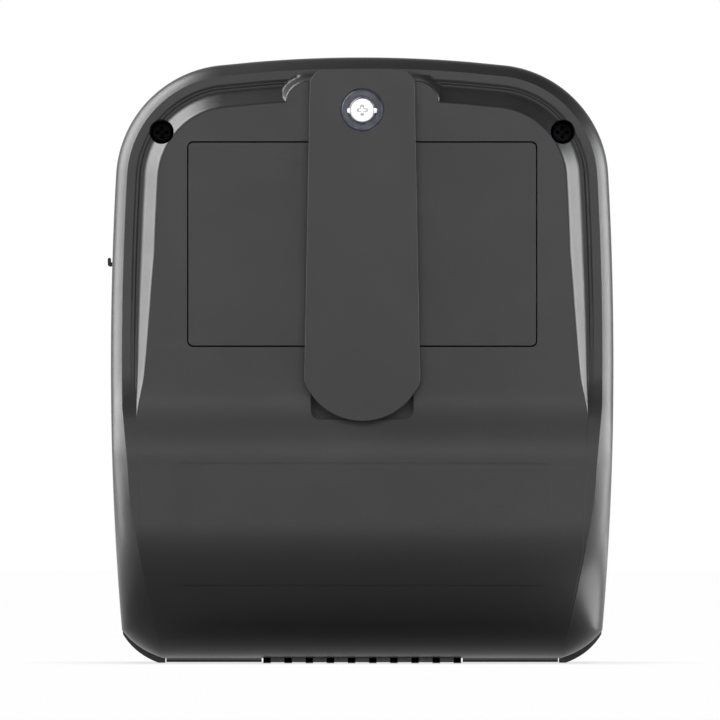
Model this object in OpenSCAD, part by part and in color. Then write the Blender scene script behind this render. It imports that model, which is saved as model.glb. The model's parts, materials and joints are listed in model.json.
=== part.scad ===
/* [Paper roll] */
// Diameter of a full paper roll
roll_d = 50; // [46:1:62]
// Width of the roll bay between its side walls
roll_w = 81; // [79:0.5:82]
// Room between the roll and the mouldings round it
roll_gap = 1.5; // [1:0.1:3]

/* [Case] */
// Greatest width of the case, side to side
case_w = 108; // [106:1:130]
// Height of the case above the roll bay, with the battery, board and keys
upper_h = 73.3; // [71.2:0.1:101]
// Wall of the two case mouldings
wall = 2; // [1.6:0.1:2.4]
// Rounding between the sides and the top
corner_r = 25; // [20:1:28]
// Radius of the bowed sides
side_bow_r = 720; // [500:10:1500]
// Radius of the bowed top
top_bow_r = 276; // [220:2:400]
// Depth of the rear case ahead of the roll's axis
part_ahead = 2; // [1:0.5:4]

/* [Back relief] */
// Height of the raised plateau above the ledge round it
ledge_drop = 3.2; // [2:0.1:4]
// Width of the rounded rim outside the ledge
rim_w = 2.4; // [2:0.1:3.4]
// Depth of the rim's rounding
rim_h = 3; // [2:0.1:4]
// Distance from the case's edge to the foot of the slope
ledge_in = 5.4; // [4.8:0.1:6]
// Distance from the case's edge to the plateau
plateau_in = 9.4; // [8.6:0.1:10]
// How far the roll bay bulges past the plateau
bulge_rise = 1.6; // [1:0.1:3]
// Width of the pad that carries the clip
pad_w = 32.2; // [28:0.1:36]
// Rounding of the pad's upper corners
pad_r = 3.2; // [2:0.1:5]
// Distance from the case's top to the pad
pad_in = 4.8; // [4:0.1:6]

/* [Battery] */
// Width of the battery door
door_w = 74.6; // [70:0.1:76]
// Height of the battery door
door_h = 43.6; // [40:0.1:45]
// Thickness of the battery door
door_t = 1.8; // [1.4:0.1:2]
// Gap between the door and the case
door_gap = 0.3; // [0.2:0.05:0.5]
// Thickness of the battery pack
pack_t = 17; // [14:0.5:17.5]

/* [Clip] */
// Width of the clip arm at its pivot
arm_w = 22.4; // [20:0.1:25]
// Width of the clip arm where its round tip starts
tip_w = 24.8; // [22:0.1:27]
// Length of the clip arm
arm_len = 75.5; // [70:0.5:80]
// Thickness of the clip arm
arm_t = 2.2; // [1.8:0.1:3]
// Room between the clip arm and the plateau
arm_gap = 3.2; // [3:0.1:4]
// Diameter of the screwdriver hole in the clip arm
arm_hole_d = 9.5; // [9:0.1:11]
// Diameter of the clip's hinge pin
clip_pin_d = 1.5; // [1.2:0.1:1.6]
// Wire of the clip's torsion spring
clip_wire = 0.6; // [0.4:0.05:0.7]
// Number of curls in the clip's torsion spring
clip_curls = 5; // [3:1:7]

/* [Lid and hinge] */
// Diameter of the lid's hinge pin
hinge_pin_d = 3; // [2:0.1:3.5]
// Outside diameter of the hinge barrels
barrel_d = 8.2; // [7:0.1:9]
// Length of the fixed middle barrel
mid_barrel = 42.6; // [36:0.1:46]
// Width of the lid between the hinge cheeks
lid_foot_w = 84.6; // [83.6:0.1:85.4]
// Width of the lid above the hinge cheeks
lid_w = 92; // [91.4:0.1:92.6]
// Gap round the lid
lid_gap = 0.4; // [0.3:0.05:0.6]
// Number of lands under the middle barrel
land_count = 10; // [4:2:12]
// Radius of the front corner at the hinge end
foot_r = 14; // [12:0.5:16]

/* [Printing mechanism] */
// Diameter of the platen roller
platen_d = 10; // [8:0.1:11]
// Diameter of the platen's shaft
shaft_d = 4; // [3:0.1:4.4]
// Module of the gear train
gear_m = 0.6; // [0.5:0.05:0.65]
// Teeth of the platen gear
platen_teeth = 20; // [20:1:20]
// Teeth of the idler gear
idler_teeth = 16; // [16:1:16]
// Teeth of the motor pinion
pinion_teeth = 10; // [10:1:10]
// Diameter of the stepper motor behind the thermal head
motor_d = 15; // [12:0.5:15]
// Length of the stepper motor
motor_len = 17; // [12:0.5:20]
// Height of the paper exit
exit_h = 4.4; // [4.2:0.1:5]
// Number of teeth on the tear bar
tear_teeth = 54; // [30:2:60]

/* [Controls] */
// Diameter of the power and feed buttons
button_d = 11; // [9:0.5:13]
// Width of the cover release button
release_w = 38; // [30:1:44]
// Height of the cover release button
release_h = 8; // [6:0.5:9]
// Tilt of the control panel, in degrees
panel_tilt = 6; // [3:0.5:7]

/* [Hidden] */
$fn = 48;

// Small clearances between the pieces
fit = 0.05;
slip = 0.15;
seat = 0.3;

// Depth of the case at the roll bay, and the middle of that depth
case_d = roll_d + 2 * (roll_gap + wall);
clip_proud = arm_gap + arm_t;
yc = (clip_proud - bulge_rise) / 2;
y_back = yc - case_d / 2;
y_front = yc + case_d / 2;
y_plateau = y_back + bulge_rise;
y_part = yc + part_ahead;

// Heights of the hinge end
land_h = 0.2;
rear_foot = 1.1;
hinge_z = barrel_d / 2 + land_h;
hinge_y = y_front - foot_r + 2;
roll_z = roll_d / 2 + roll_gap + wall + rear_foot + 0.4;
bay_top = roll_z + roll_d / 2 + 2;
bay_roof_t = 1.5;
case_h = bay_top + upper_h;

// Plateau and bulge, as heights up the back
bulge_low = roll_z + 14;
bulge_top = roll_z + 28;
ledge_end = bulge_low + 7.3;
ledge_taper = 27;
cheek_top = bulge_low - 6;
cheek_h = 8;
bulge_corner = 20;
least_step = 0.05;

// Widest place of the sides
bow_z = case_h / 2;

// Places on the back, measured from the top
well_x = case_w / 2 - 10.9;
well_z = case_h - 16;
clip_screw_z = case_h - 11.4;
clip_pin_z = clip_screw_z - 6.9;
clip_pin_y = y_plateau - 1.7;
door_z = case_h - 40.15;
arm_top = case_h - 2.6;
arm_tip = arm_top - arm_len;

// Printing mechanism
platen_y = y_front - 9;
platen_z = bay_top + 5;
lid_top = platen_z + 1.8;
exit_top = lid_top + exit_h;
platen_pr = gear_m * platen_teeth / 2;
idler_pr = gear_m * idler_teeth / 2;
pinion_pr = gear_m * pinion_teeth / 2;
mesh_slack = 0.1;
idler_y = platen_y - platen_pr - idler_pr - mesh_slack;
motor_angle = 33.5;
motor_reach = idler_pr + pinion_pr + mesh_slack;
motor_y = idler_y - motor_reach * cos(motor_angle);
motor_z = platen_z + motor_reach * sin(motor_angle);
plate_t = 1.2;
plate_in = roll_w / 2 + 0.3;
plate_out = plate_in + plate_t;
gear_w = 1.8;
gear_x = plate_out + 2;
bush_r = 3.5;

// Case screws and the screws of the control board
well_floor = y_part - 5;
key_x = 38;
key_dz = 7;

// Front panel: height of the row of keys and of the release button
panel_z = exit_top + 32;
release_z = exit_top + 11;
feed_x = 5;
power_x = 26;
light_x = [-30, -22, -14];
key_y = y_front - 14;
key_t = 1.2;

// Thermal head's springs, feet of the frame and the paper sensor
head_wire = 0.5;
spring_x = [-14, 22];
lid_rib_x = [-32, -16, 0, 16, 32];
lid_rib_h = 1.2;
foot_x = plate_in - 5;
foot_y = motor_y - 10.3;
sensor_x = 6;

// Electronics
contact_x = 6;
notch_w = 18;
notch_h = 6;
pocket_y = y_plateau + door_t + 0.2;
floor_y = pocket_y + pack_t + 0.4;
box_t = 1.4;
board_t = 1.6;
board_y = floor_y + box_t + 1.4;
board_low = max(bay_top + 20, door_z - 13.15);
board_high = case_h - 7;
port_low = case_h - 55.3;
port_high = port_low + 13.5;
board_x = [34, 27];
board_z = [board_low + 4, board_high - 4];
panel_low = exit_top;

function smooth(t) = let (u = min(max(t, 0), 1)) u * u * (3 - 2 * u);
function mix(a, b, t) = a + (b - a) * t;
function bezier(a, b, c, t) = (1 - t) * (1 - t) * a + 2 * t * (1 - t) * b + t * t * c;
function arc(cx, cy, r, a0, a1, n) =
    [for (i = [0:n]) let (a = mix(a0, a1, i / n)) [cx + r * cos(a), cy + r * sin(a)]];
function flip(points) = [for (i = [len(points) - 1:-1:0]) [-points[i][0], points[i][1]]];

// Centre of the circle of radius r inside the side and top circles
function corner_centre(sx, sz, sr, tz, tr, r) =
    let (dx = -sx, dz = tz - sz, d = sqrt(dx * dx + dz * dz),
        ra = sr - r, rb = tr - r, a = (ra * ra - rb * rb + d * d) / (2 * d),
        h = sqrt(ra * ra - a * a))
    [sx + a * dx / d - h * dz / d, sz + a * dz / d + h * dx / d];

// Right half of the case's outline, foot to top: x, z and outward direction
function outline(t, foot, foot_in) =
    let (hw = case_w / 2 - t, top = case_h - t, low = foot + t, start = foot + 6.1,
        sx = hw - side_bow_r, tz = top - top_bow_r, r = corner_r - t,
        c = corner_centre(sx, bow_z, side_bow_r, tz, top_bow_r, r),
        a0 = asin((start - bow_z) / side_bow_r), a1 = atan2(c[1] - bow_z, c[0] - sx),
        a2 = atan2(c[1] - tz, c[0]), x0 = sx + side_bow_r * cos(a0),
        tops = [for (x = [20, pad_w / 2 + 0.5, pad_w / 2, pad_w / 2 - 0.5,
            pad_w / 2 - 1.6, pad_w / 2 - pad_r, 9, 3]) acos(x / top_bow_r)])
    concat(
        [for (u = [0, 0.15, 0.3, 0.5, 0.75]) [bezier(hw - foot_in, hw - foot_in / 2, x0, u),
            bezier(low, low + 1.8, start, u), 1, 0]],
        [for (i = [0:22]) let (a = mix(a0, a1, i / 22))
            [sx + side_bow_r * cos(a), bow_z + side_bow_r * sin(a), cos(a), sin(a)]],
        [for (i = [1:9]) let (a = mix(a1, a2, i / 9))
            [c[0] + r * cos(a), c[1] + r * sin(a), cos(a), sin(a)]],
        [for (a = tops) [top_bow_r * cos(a), tz + top_bow_r * sin(a), cos(a), sin(a)]]);

// Distance of the back from the bulge's plane, at height z
function back_profile(z) =
    z > bulge_low ? bulge_rise * smooth((z - bulge_low) / (bulge_top - bulge_low)) :
    z > roll_z ? 0 :
    let (s = min(1, (roll_z - z) / (roll_z - rear_foot))) bulge_corner * (1 - sqrt(1 - s * s));

// Share of the ledge's full depth at height z: it runs out in a point
function ledge_share(z) = pow(min(1, max(0, (z - ledge_end) / ledge_taper)), 0.45);

// Plateau's distance from the edge: the pad reaches further up
function plateau_edge(x, z) =
    z < case_h - 12 || abs(x) > pad_w / 2 ? mix(ledge_in + 0.1, plateau_in, ledge_share(z)) :
    abs(x) < pad_w / 2 - pad_r ? pad_in :
    pad_in + pad_r - sqrt(max(0, pad_r * pad_r - pow(abs(x) - pad_w / 2 + pad_r, 2)));

// Width of the rim: lower down it widens into the cheek beside the bulge
function rim_width(x, z) =
    let (s = (z - rear_foot) / (cheek_top - rear_foot),
        crease = case_w / 2 - 11.1 + 7.4 * s * (1.25 - 0.25 * s))
    z > ledge_end ? rim_w :
    z > cheek_top ? mix(3.6, rim_w, (z - cheek_top) / (ledge_end - cheek_top)) :
    max(0, x - crease);

// Distance in from the edge and down from the back of ring k, for one outline point
function rear_step(k, p) =
    let (z = p[1], w = rim_width(p[0], z), drop = ledge_drop * ledge_share(z),
        h = mix(cheek_h, rim_h, smooth((z - 15) / 35)),
        bend = min(0.8 * h, w * mix(tan(12), tan(35), smooth((z - 20) / 30))),
        u = [0, 0.35, 0.7, 1, 1, 1][k],
        floor_in = mix(w + 0.4, ledge_in, min(1, max(0, (z - cheek_top) / 13.3))),
        edge_in = z > ledge_end ? plateau_edge(p[0], z) : floor_in + 0.1)
    k < 4 ? [bezier(0, 0, w, u), max(drop, 2 * least_step) + bezier(h, bend, 0, u)] :
    k == 4 ? [min(floor_in, edge_in - 0.1), max(drop, least_step)] : [edge_in, 0];

function rear_ring(k, t) =
    [for (p = outline(t, rear_foot, 11.1)) let (s = rear_step(k, p))
        [p[0] - s[0] * p[2], y_back + back_profile(p[1] - (p[1] < roll_z ? t : 0)) + s[1] + t,
            p[1] - s[0] * p[3]]];

// Height of the front's face at height z
function front_profile(z) =
    z < foot_r ? foot_r - sqrt(max(0, foot_r * foot_r - pow(foot_r - z, 2))) :
    z < panel_low ? 0 : (z - panel_low) * tan(panel_tilt);

function front_ring(k, t) =
    [for (p = outline(t, 0, 10.1)) let (a = 75 * k / 4, e = mix(0, 5, smooth(p[1] / 12)),
            in = e * (1 - cos(a)) / (1 - cos(75)), down = 6 * (1 - sin(a) / sin(75)))
        [p[0] - in * p[2], y_front - front_profile(p[1] - (p[1] < foot_r ? t : 0)) - down - t,
            p[1] - in * p[3]]];

function flat_ring(y, t, foot, foot_in) =
    [for (p = outline(t, foot, foot_in)) [p[0], y, p[1]]];

// Closed skin through rings of points, right half given and mirrored here
module skin(halves, turned) {
    half = len(halves[0]);
    m = 2 * half;
    points = [for (h = halves) each concat(h,
        [for (i = [half - 1:-1:0]) [-h[i][0], h[i][1], h[i][2]]])];
    last = (len(halves) - 1) * m;
    sides = [for (k = [0:len(halves) - 2], i = [0:m - 1])
        let (a = k * m + i, b = k * m + (i + 1) % m, c = b + m, d = a + m)
        each [[a, b, c], [a, c, d]]];
    cap = [for (i = [0:half - 2])
        [last + i, last + i + 1, last + m - 2 - i, last + m - 1 - i]];
    faces = concat([[for (i = [m - 1:-1:0]) i]], sides, cap);
    polyhedron(points = points,
        faces = turned ? [for (f = faces) [for (i = [len(f) - 1:-1:0]) f[i]]] : faces);
}

module rear_skin(t, steps) {
    skin(concat([flat_ring(y_part + (t > 0 ? 1 : 0), t, rear_foot, 11.1)],
        [for (k = steps) rear_ring(k, t)]), true);
}

module front_skin(t, steps) {
    skin(concat([flat_ring(y_part - (t > 0 ? 1 : 0), t, 0, 10.1)],
        [for (k = steps) front_ring(k, t)]), false);
}

// Extrudes a shape drawn in x and z, from y0 towards the front
module along_y(y0, length) {
    translate([0, y0 + length, 0]) rotate([90, 0, 0]) linear_extrude(length) children();
}

// Extrudes a shape drawn in y and z, from x0 to the right
module along_x(x0, length) {
    translate([x0, 0, 0]) rotate([90, 0, 90]) linear_extrude(length) children();
}

module rod_x(x0, length, d, y, z) {
    translate([x0, y, z]) rotate([0, 90, 0]) cylinder(h = length, d = d);
}

module rod_y(y0, length, d, x, z) {
    translate([x, y0, z]) rotate([-90, 0, 0]) cylinder(h = length, d = d);
}

module block(x0, x1, y0, y1, z0, z1) {
    translate([x0, y0, z0]) cube([x1 - x0, y1 - y0, z1 - z0]);
}

module rounded(w, h, r) {
    offset(r = r, $fn = 32) square([w - 2 * r, h - 2 * r], center = true);
}

module both_sides() {
    children();
    mirror([1, 0, 0]) children();
}

// Rear case: plateau, ledge, rim and roll bay in one moulding
module rear_case() {
    floor_front = hinge_y - barrel_d / 2 - 0.8;
    color("#3b3b3d") difference() {
        union() {
            difference() {
                rear_skin(0, [0, 1, 2, 3, 4, 5]);
                difference() {
                    rear_skin(wall, [0, 1, 3, 4, 5]);
                    rear_fills();
                }
            }
            block(-lid_foot_w / 2 + 0.2, lid_foot_w / 2 - 0.2, y_part - 1, floor_front,
                rear_foot, rear_foot + wall);
            block(-mid_barrel / 2, mid_barrel / 2, yc - 8.5, hinge_y, land_h, rear_foot + wall);
            rod_x(-mid_barrel / 2, mid_barrel, barrel_d, hinge_y, hinge_z);
            lands();
        }
        rear_cuts();
    }
}

module lands() {
    pitch = (mid_barrel - 1.6) / (land_count - 1);
    for (i = [0:land_count - 1]) {
        x = -mid_barrel / 2 + i * pitch;
        block(x, x + 1.6, yc - 8.5, hinge_y, 0, rear_foot + 1);
        rod_x(x, 1.6, barrel_d + 2 * land_h, hinge_y, hinge_z);
    }
}

// What stays solid inside the rear case's skin
module rear_fills() {
    box_x = door_w / 2 + door_gap + 1.2;
    box_z = door_h / 2 + door_gap + 1.2;
    block(-box_x, box_x, y_back, floor_y + box_t, door_z - box_z, door_z + box_z);
    block(-tip_w / 2 - 0.4, tip_w / 2 + 0.4, y_back, y_plateau + 8.4, arm_tip - 1.2,
        arm_tip + 15);
    both_sides() {
        rod_y(y_back, y_part - y_back - 0.5, 8.6, well_x, well_z);
        rod_y(floor_y, board_y - floor_y, 5, board_x[0], board_z[0]);
        rod_y(y_back, board_y - y_back, 5, board_x[1], board_z[1]);
    }
    rod_y(y_back, 9, 9, 0, clip_screw_z);
}

module rear_cuts() {
    y_out = y_plateau - 1;
    along_y(y_out, pocket_y - y_out) difference() {
        translate([0, door_z]) rounded(door_w + 2 * door_gap, door_h + 2 * door_gap, 1.3);
        door_notch(-door_gap);
    }
    along_y(pocket_y, floor_y - pocket_y) translate([0, door_z])
        square([door_w - 2.4, door_h - 2.4], center = true);
    along_y(y_out - 1, 8.6) translate([0, arm_tip + 6.3]) rounded(22.1, 12.1, 2);
    both_sides() {
        rod_y(y_back - 1, well_floor - y_back + 1, 5.3, well_x, well_z);
        rod_y(y_back, case_d, 3.2, well_x, well_z);
    }
    rod_y(y_plateau - 1, 7.5, 4, 0, clip_screw_z);
    rod_x(-mid_barrel, 2 * mid_barrel, hinge_pin_d + 2 * fit, hinge_y, hinge_z);
    block(-case_w / 2 - 1, -case_w / 2 + wall + 2, yc - 7.6, yc + 0.6, port_low, port_high);
    both_sides() {
        for (i = [0, 1]) rod_y(board_y - 3.2, 4, 1.8, board_x[i], board_z[i]);
        block(contact_x - 1.4, contact_x + 1.4, floor_y - 1, floor_y + box_t + 1, door_z - 3.2,
            door_z + 3.2);
    }
    label_field();
}

// Very shallow rectangle on the bulge, where a label would go
module label_field() {
    low = 17;
    high = 43;
    depth = 0.2;
    steps = [for (i = [0:20]) mix(low - 1, high + 1, i / 20)];
    intersection() {
        along_y(y_back - 1, 14) translate([0, (low + high) / 2]) rounded(80.4, high - low, 2);
        along_x(-41, 82) polygon(concat(
            [[y_back - 2, high + 1], [y_back - 2, low - 1]],
            [for (z = steps) [y_back + back_profile(z) + depth, z]]));
    }
}

// Side walls and roof of the roll bay
module roll_bay() {
    back = wall + seat + 0.1;
    low = rear_foot + wall + 0.5;
    rear = [for (i = [0:10]) let (z = mix(bay_top, low, i / 10))
        [y_back + back_profile(z < roll_z ? z - back : z) + back + (z < roll_z ? 0.5 : 0), z]];
    front = concat([[hinge_y - 5.4, low], [hinge_y - 5.4, hinge_z + 2],
        [hinge_y - 2, hinge_z + 5.2]],
        arc(y_front - foot_r, foot_r, foot_r - wall - 0.6, -40, 0, 5),
        [[y_front - wall - 0.6, bay_top]]);
    color("#343436") difference() {
        union() {
            both_sides() along_x(roll_w / 2, 1.5) polygon(concat(rear, front));
            block(-roll_w / 2 - 1.5, roll_w / 2 + 1.5, y_plateau + back, platen_y - 9.2, bay_top,
                bay_top + bay_roof_t);
        }
        block(-tip_w / 2 - 0.8, tip_w / 2 + 0.8, y_plateau, y_plateau + 8.8, bay_top - 1,
            bay_top + bay_roof_t + 1);
        both_sides() translate([foot_x, foot_y, bay_top + 0.2]) cylinder(h = 3, d = 1.8);
        block(sensor_x - 2.2, sensor_x + 2.2, platen_y - 12.4, platen_y - 9.8, bay_top - 1,
            bay_top + bay_roof_t + 1);
    }
}

// Top case: control panel, cheeks beside the lid, paper exit
module top_case() {
    color("#2f2f31") difference() {
        front_skin(0, [0, 1, 2, 3, 4]);
        difference() {
            front_skin(wall, [0, 2, 4]);
            top_fills();
        }
        top_cuts();
    }
}

module top_fills() {
    both_sides() {
        block(lid_w / 2 + lid_gap, lid_w / 2 + lid_gap + 1.5, y_part, y_front, 0, exit_top);
        intersection() {
            block(lid_foot_w / 2 + 0.2, lid_w / 2 + lid_gap + 1.5, y_part, y_front + 1, -1,
                hinge_z + 16);
            rod_x(0, case_w, 2 * 14.8, hinge_y, hinge_z);
        }
        rod_y(y_part + 0.3, case_d, 7, well_x, well_z);
        for (z = [-key_dz, key_dz]) rod_y(key_y + key_t, 14, 4.4, key_x, panel_z + z);
    }
    block(-lid_w / 2 - 1, lid_w / 2 + 1, platen_y + 6.4, y_front, exit_top, exit_top + 2.4);
}

module top_cuts() {
    block(-lid_foot_w / 2 - 0.2, lid_foot_w / 2 + 0.2, y_part - 2, y_front + 1, -1, exit_top);
    difference() {
        block(-lid_w / 2 - lid_gap, lid_w / 2 + lid_gap, y_part - 2, y_front + 1, hinge_z - 5,
            exit_top);
        rod_x(-case_w / 2, case_w, 2 * 14.8, hinge_y, hinge_z);
    }
    both_sides() {
        rod_y(y_part - 1, 13, 2.5, well_x, well_z);
        for (z = [-key_dz, key_dz]) rod_y(key_y, key_t + 5, 1.5, key_x, panel_z + z);
    }
    rod_x(-lid_w / 2, lid_w, hinge_pin_d + 2 * fit, hinge_y, hinge_z);
    panel_holes();
}

module panel_holes() {
    for (x = [feed_x, power_x]) rod_y(y_front - 12, 14, button_d + 2 * slip, x, panel_z);
    along_y(y_front - 12, 14) translate([0, release_z])
        rounded(release_w + 2 * slip, release_h + 2 * slip, 2.5);
    for (x = light_x) along_y(y_front - 12, 14) translate([x, panel_z])
        rounded(5 + 2 * slip, 1.8 + 2 * slip, 0.9);
}

// Two long screws in the wells of the rear case
module case_screws() {
    color("#6d6f73") both_sides() difference() {
        union() {
            rod_y(well_floor - 2, 2, 4.9, well_x, well_z);
            rod_y(well_floor, 16, 2.4, well_x, well_z);
        }
        cross_recess(well_floor - 2, well_x, well_z, 2.6, 1);
    }
}

module cross_recess(y, x, z, w, depth) {
    for (a = [0, 90]) translate([x, y - 0.1, z]) rotate([0, a, 0])
        translate([-w / 2, 0, -0.35]) cube([w, depth + 0.1, 0.7]);
}

// Notch in the door's upper edge, where the case reaches in under the clip's hinge
module door_notch(wider) {
    w = notch_w + 2 * wider;
    translate([-w / 2, door_z + door_h / 2 - notch_h - wider]) square([w, notch_h + 2]);
}

module battery_door() {
    color("#3b3b3d") along_y(y_plateau, door_t) difference() {
        translate([0, door_z]) rounded(door_w, door_h, 1.1);
        door_notch(0);
    }
}

module battery_pack() {
    color("#23324a") along_y(pocket_y + 0.1, pack_t) translate([0, door_z])
        rounded(door_w - 3.4, door_h - 3.4, 2);
}

module battery_contacts() {
    color("#c9a54a") both_sides() {
        block(contact_x - 1, contact_x + 1, floor_y - 0.2, floor_y + box_t + 0.1, door_z - 3,
            door_z + 3);
        block(contact_x - 1, contact_x + 3, floor_y + box_t + 0.1, board_y, door_z - 3,
            door_z + 3);
    }
}

// Sheet-metal base of the clip, with an ear at each side for the pin
module clip_base() {
    color("#666a75") difference() {
        union() {
            block(-8, 8, y_plateau - 1, y_plateau, clip_pin_z + 1.4, clip_screw_z + 5.6);
            both_sides() along_x(7, 1) union() {
                translate([clip_pin_y, clip_pin_z]) circle(d = 2.4);
                translate([clip_pin_y, clip_pin_z]) polygon([[-1.2, 0], [-1.2, 0.8],
                    [y_plateau - clip_pin_y - 1, 3.6], [y_plateau - clip_pin_y, 3.6],
                    [y_plateau - clip_pin_y, 0]]);
            }
        }
        rod_y(y_plateau - 2, 3, 3.2, 0, clip_screw_z);
        rod_x(-9, 18, clip_pin_d + 0.02, clip_pin_y, clip_pin_z);
    }
}

module clip_bush() {
    color("#666a75") difference() {
        rod_y(y_plateau - 2, 1, 8.9, 0, clip_screw_z);
        rod_y(y_plateau - 2.1, 0.7, 6, 0, clip_screw_z);
        rod_y(y_plateau - 2.1, 2, 3.2, 0, clip_screw_z);
    }
}

// Pan head screw with two small ears under the head
module clip_screw() {
    top = y_plateau - 2.9;
    color("#f2f2f0") difference() {
        union() {
            rod_y(top, 1.5, 5.6, 0, clip_screw_z);
            block(-3.15, 3.15, top + 0.1, top + 0.7, clip_screw_z - 0.65, clip_screw_z + 0.45);
            rod_y(top + 1.5, 7, 2.9, 0, clip_screw_z);
        }
        cross_recess(top, 0, clip_screw_z, 2.8, 0.8);
    }
}

module clip_insert() {
    color("#b08d3c") difference() {
        rod_y(y_plateau + 0.2, 5.6, 3.98, 0, clip_screw_z);
        rod_y(y_plateau, 7, 2.96, 0, clip_screw_z);
    }
}

module clip_pin() {
    color("#9a9ca0") rod_x(-8.3, 16.6, clip_pin_d, clip_pin_y, clip_pin_z);
}

// Helix along x with two legs: one lies on the base, one pushes the arm
function spring_path() =
    let (r = 1.15, pitch = clip_wire + 0.5, steps = 8 * clip_curls,
        x0 = -pitch * clip_curls / 2, half_turn = pitch / 2,
        base_y = y_plateau - 1.05 - clip_wire / 2)
    concat(
        [[x0 - 0.1, base_y, clip_pin_z + 2.9], [x0 - 0.1, base_y, clip_pin_z + 1.6]],
        [for (i = [0:steps + 4]) let (a = -360 * i / 8)
            [x0 + pitch * i / 8, clip_pin_y + r * cos(a), clip_pin_z + r * sin(a)]],
        [for (s = [1.6, 3.2]) [half_turn - x0, clip_pin_y - r, clip_pin_z + s]]);

// Tube of six sides along a path, with the sides held level to the axis given
module wire(path, d, axis) {
    n = len(path);
    rings = [for (i = [0:n - 1])
        let (a = path[max(0, i - 1)], b = path[min(n - 1, i + 1)], v = b - a, u = v / norm(v),
            s = cross(u, axis), p = s / norm(s), q = cross(u, p))
        each [for (j = [0:5]) path[i] + d / 2 * (p * cos(60 * j) + q * sin(60 * j))]];
    polyhedron(points = rings, faces = concat(
        [[for (j = [5:-1:0]) j], [for (j = [0:5]) (n - 1) * 6 + j]],
        [for (i = [0:n - 2], j = [0:5]) let (a = 6 * i, k = (j + 1) % 6)
            each [[a + j, a + k, a + 6 + k], [a + j, a + 6 + k, a + 6 + j]]]));
}

// Least open gap between two curls of a wire, measured between its points
function least_gap(path, d) =
    min([for (i = [0:len(path) - 7], j = [i + 6:len(path) - 1]) norm(path[i] - path[j])]) - d;

module clip_spring() {
    color("#b9bbbf") wire(spring_path(), clip_wire, [1, 0, 0.001]);
}

function arm_outline() =
    let (hw = arm_w / 2, tw = tip_w / 2, tip_r = 13.3, a = acos(tw / tip_r),
        tip_c = arm_tip + tip_r, top_c = arm_top - 120, ta = acos((hw - 2.4) / 120))
    concat(
        [for (i = [0:10]) let (b = -90 + (90 - a) * i / 10)
            [tip_r * cos(b), tip_c + tip_r * sin(b)]],
        [[tw, tip_c - tip_r * sin(a)]],
        arc(hw - 2.4, top_c + 120 * sin(ta) - 2.4, 2.4, 0, ta, 5),
        [for (i = [1:6]) let (b = mix(ta, 90, i / 6)) [120 * cos(b), top_c + 120 * sin(b)]]);

module clip_arm() {
    half = arm_outline();
    y_in = y_plateau - arm_gap;
    color("#3b3b3d") difference() {
        union() {
            along_y(y_in - arm_t, arm_t) polygon(concat(half, flip(half)));
            both_sides() along_x(4.6, 2) union() {
                translate([clip_pin_y, clip_pin_z]) circle(d = 2.8);
                translate([y_in - 0.5, clip_pin_z - 1.4]) square([clip_pin_y - y_in + 0.5, 2.8]);
            }
            block(-9, 9, y_in - 1, y_plateau + 2, arm_tip + 3.4, arm_tip + 6.4);
        }
        rod_y(y_in - arm_t - 1, arm_t + 2, arm_hole_d, 0, clip_screw_z);
        rod_x(-12, 24, clip_pin_d + 2 * fit, clip_pin_y, clip_pin_z);
        block(-4.4, 4.4, y_in - 0.5, y_in + 1, clip_pin_z - 2.2, clip_pin_z + 2.2);
    }
}

module hinge_pin() {
    color("#9a9ca0") rod_x(-lid_w / 2, lid_w, hinge_pin_d, hinge_y, hinge_z);
}

// Lid's section in y and z, from the hinge up to the platen
function lid_section(t) =
    concat(arc(y_front - foot_r, foot_r, foot_r - t, -86, 0, 14), [[y_front - t, lid_top]]);

// Rib inside the lid, where the paper roll rubs
function lid_rib() =
    let (r = foot_r - wall + 0.3, y0 = y_front - foot_r, y1 = y_front - wall)
    concat(arc(y0, foot_r, r, -30, 0, 4), [[y1 + 0.3, lid_top - 6], [y1 - lid_rib_h, lid_top - 9]],
        arc(y0, foot_r, r - lid_rib_h - 0.3, 0, -20, 3));

module paper_lid() {
    outer = lid_section(0);
    inner = lid_section(wall);
    section = concat(outer, [for (i = [len(inner) - 1:-1:0]) inner[i]]);
    arm_x = plate_out + 0.4;
    color("#2f2f31") difference() {
        union() {
            along_x(-lid_w / 2, lid_w) polygon(section);
            for (x = lid_rib_x) along_x(x - 0.6, 1.2) polygon(lid_rib());
            both_sides() {
                rod_x(mid_barrel / 2 + 0.4, (lid_foot_w - mid_barrel) / 2 - 0.4, barrel_d,
                    hinge_y, hinge_z);
                along_x(arm_x, 1.2) polygon([[y_front - 1, lid_top - 14],
                    [platen_y - 2.6, platen_z - 4.6], [platen_y - 2.6, platen_z - 4],
                    [platen_y - 4, platen_z], [platen_y, platen_z + 4.6],
                    [y_front - 1, lid_top]]);
            }
            block(-plate_in + 1.2, plate_in - 1.2, platen_y + 5.6, y_front - 1, lid_top - 1.6,
                lid_top);
        }
        difference() {
            rod_x(-lid_w / 2 - 1, lid_w + 2, 2 * 15.2, hinge_y, hinge_z);
            block(-lid_foot_w / 2, lid_foot_w / 2, 0, y_front + 1, -1, 40);
        }
        block(-mid_barrel / 2 - 0.4, mid_barrel / 2 + 0.4, hinge_y - 6,
            hinge_y + 4.7, -1, hinge_z + 4.7);
        rod_x(-lid_w, 2 * lid_w, hinge_pin_d + 2 * fit, hinge_y, hinge_z);
        rod_x(-lid_w, 2 * lid_w, 2 * bush_r + 0.06, platen_y, platen_z);
    }
}

module platen_shaft() {
    color("#b4b6ba")
        rod_x(-gear_x - gear_w - 0.2, 2 * gear_x + gear_w - 1.8, shaft_d, platen_y, platen_z);
}

module platen_rubber() {
    color("#1a1a1b") difference() {
        rod_x(-roll_w / 2 + 0.7, roll_w - 1.4, platen_d, platen_y, platen_z);
        rod_x(-roll_w, 2 * roll_w, shaft_d + 0.06, platen_y, platen_z);
    }
}

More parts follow.
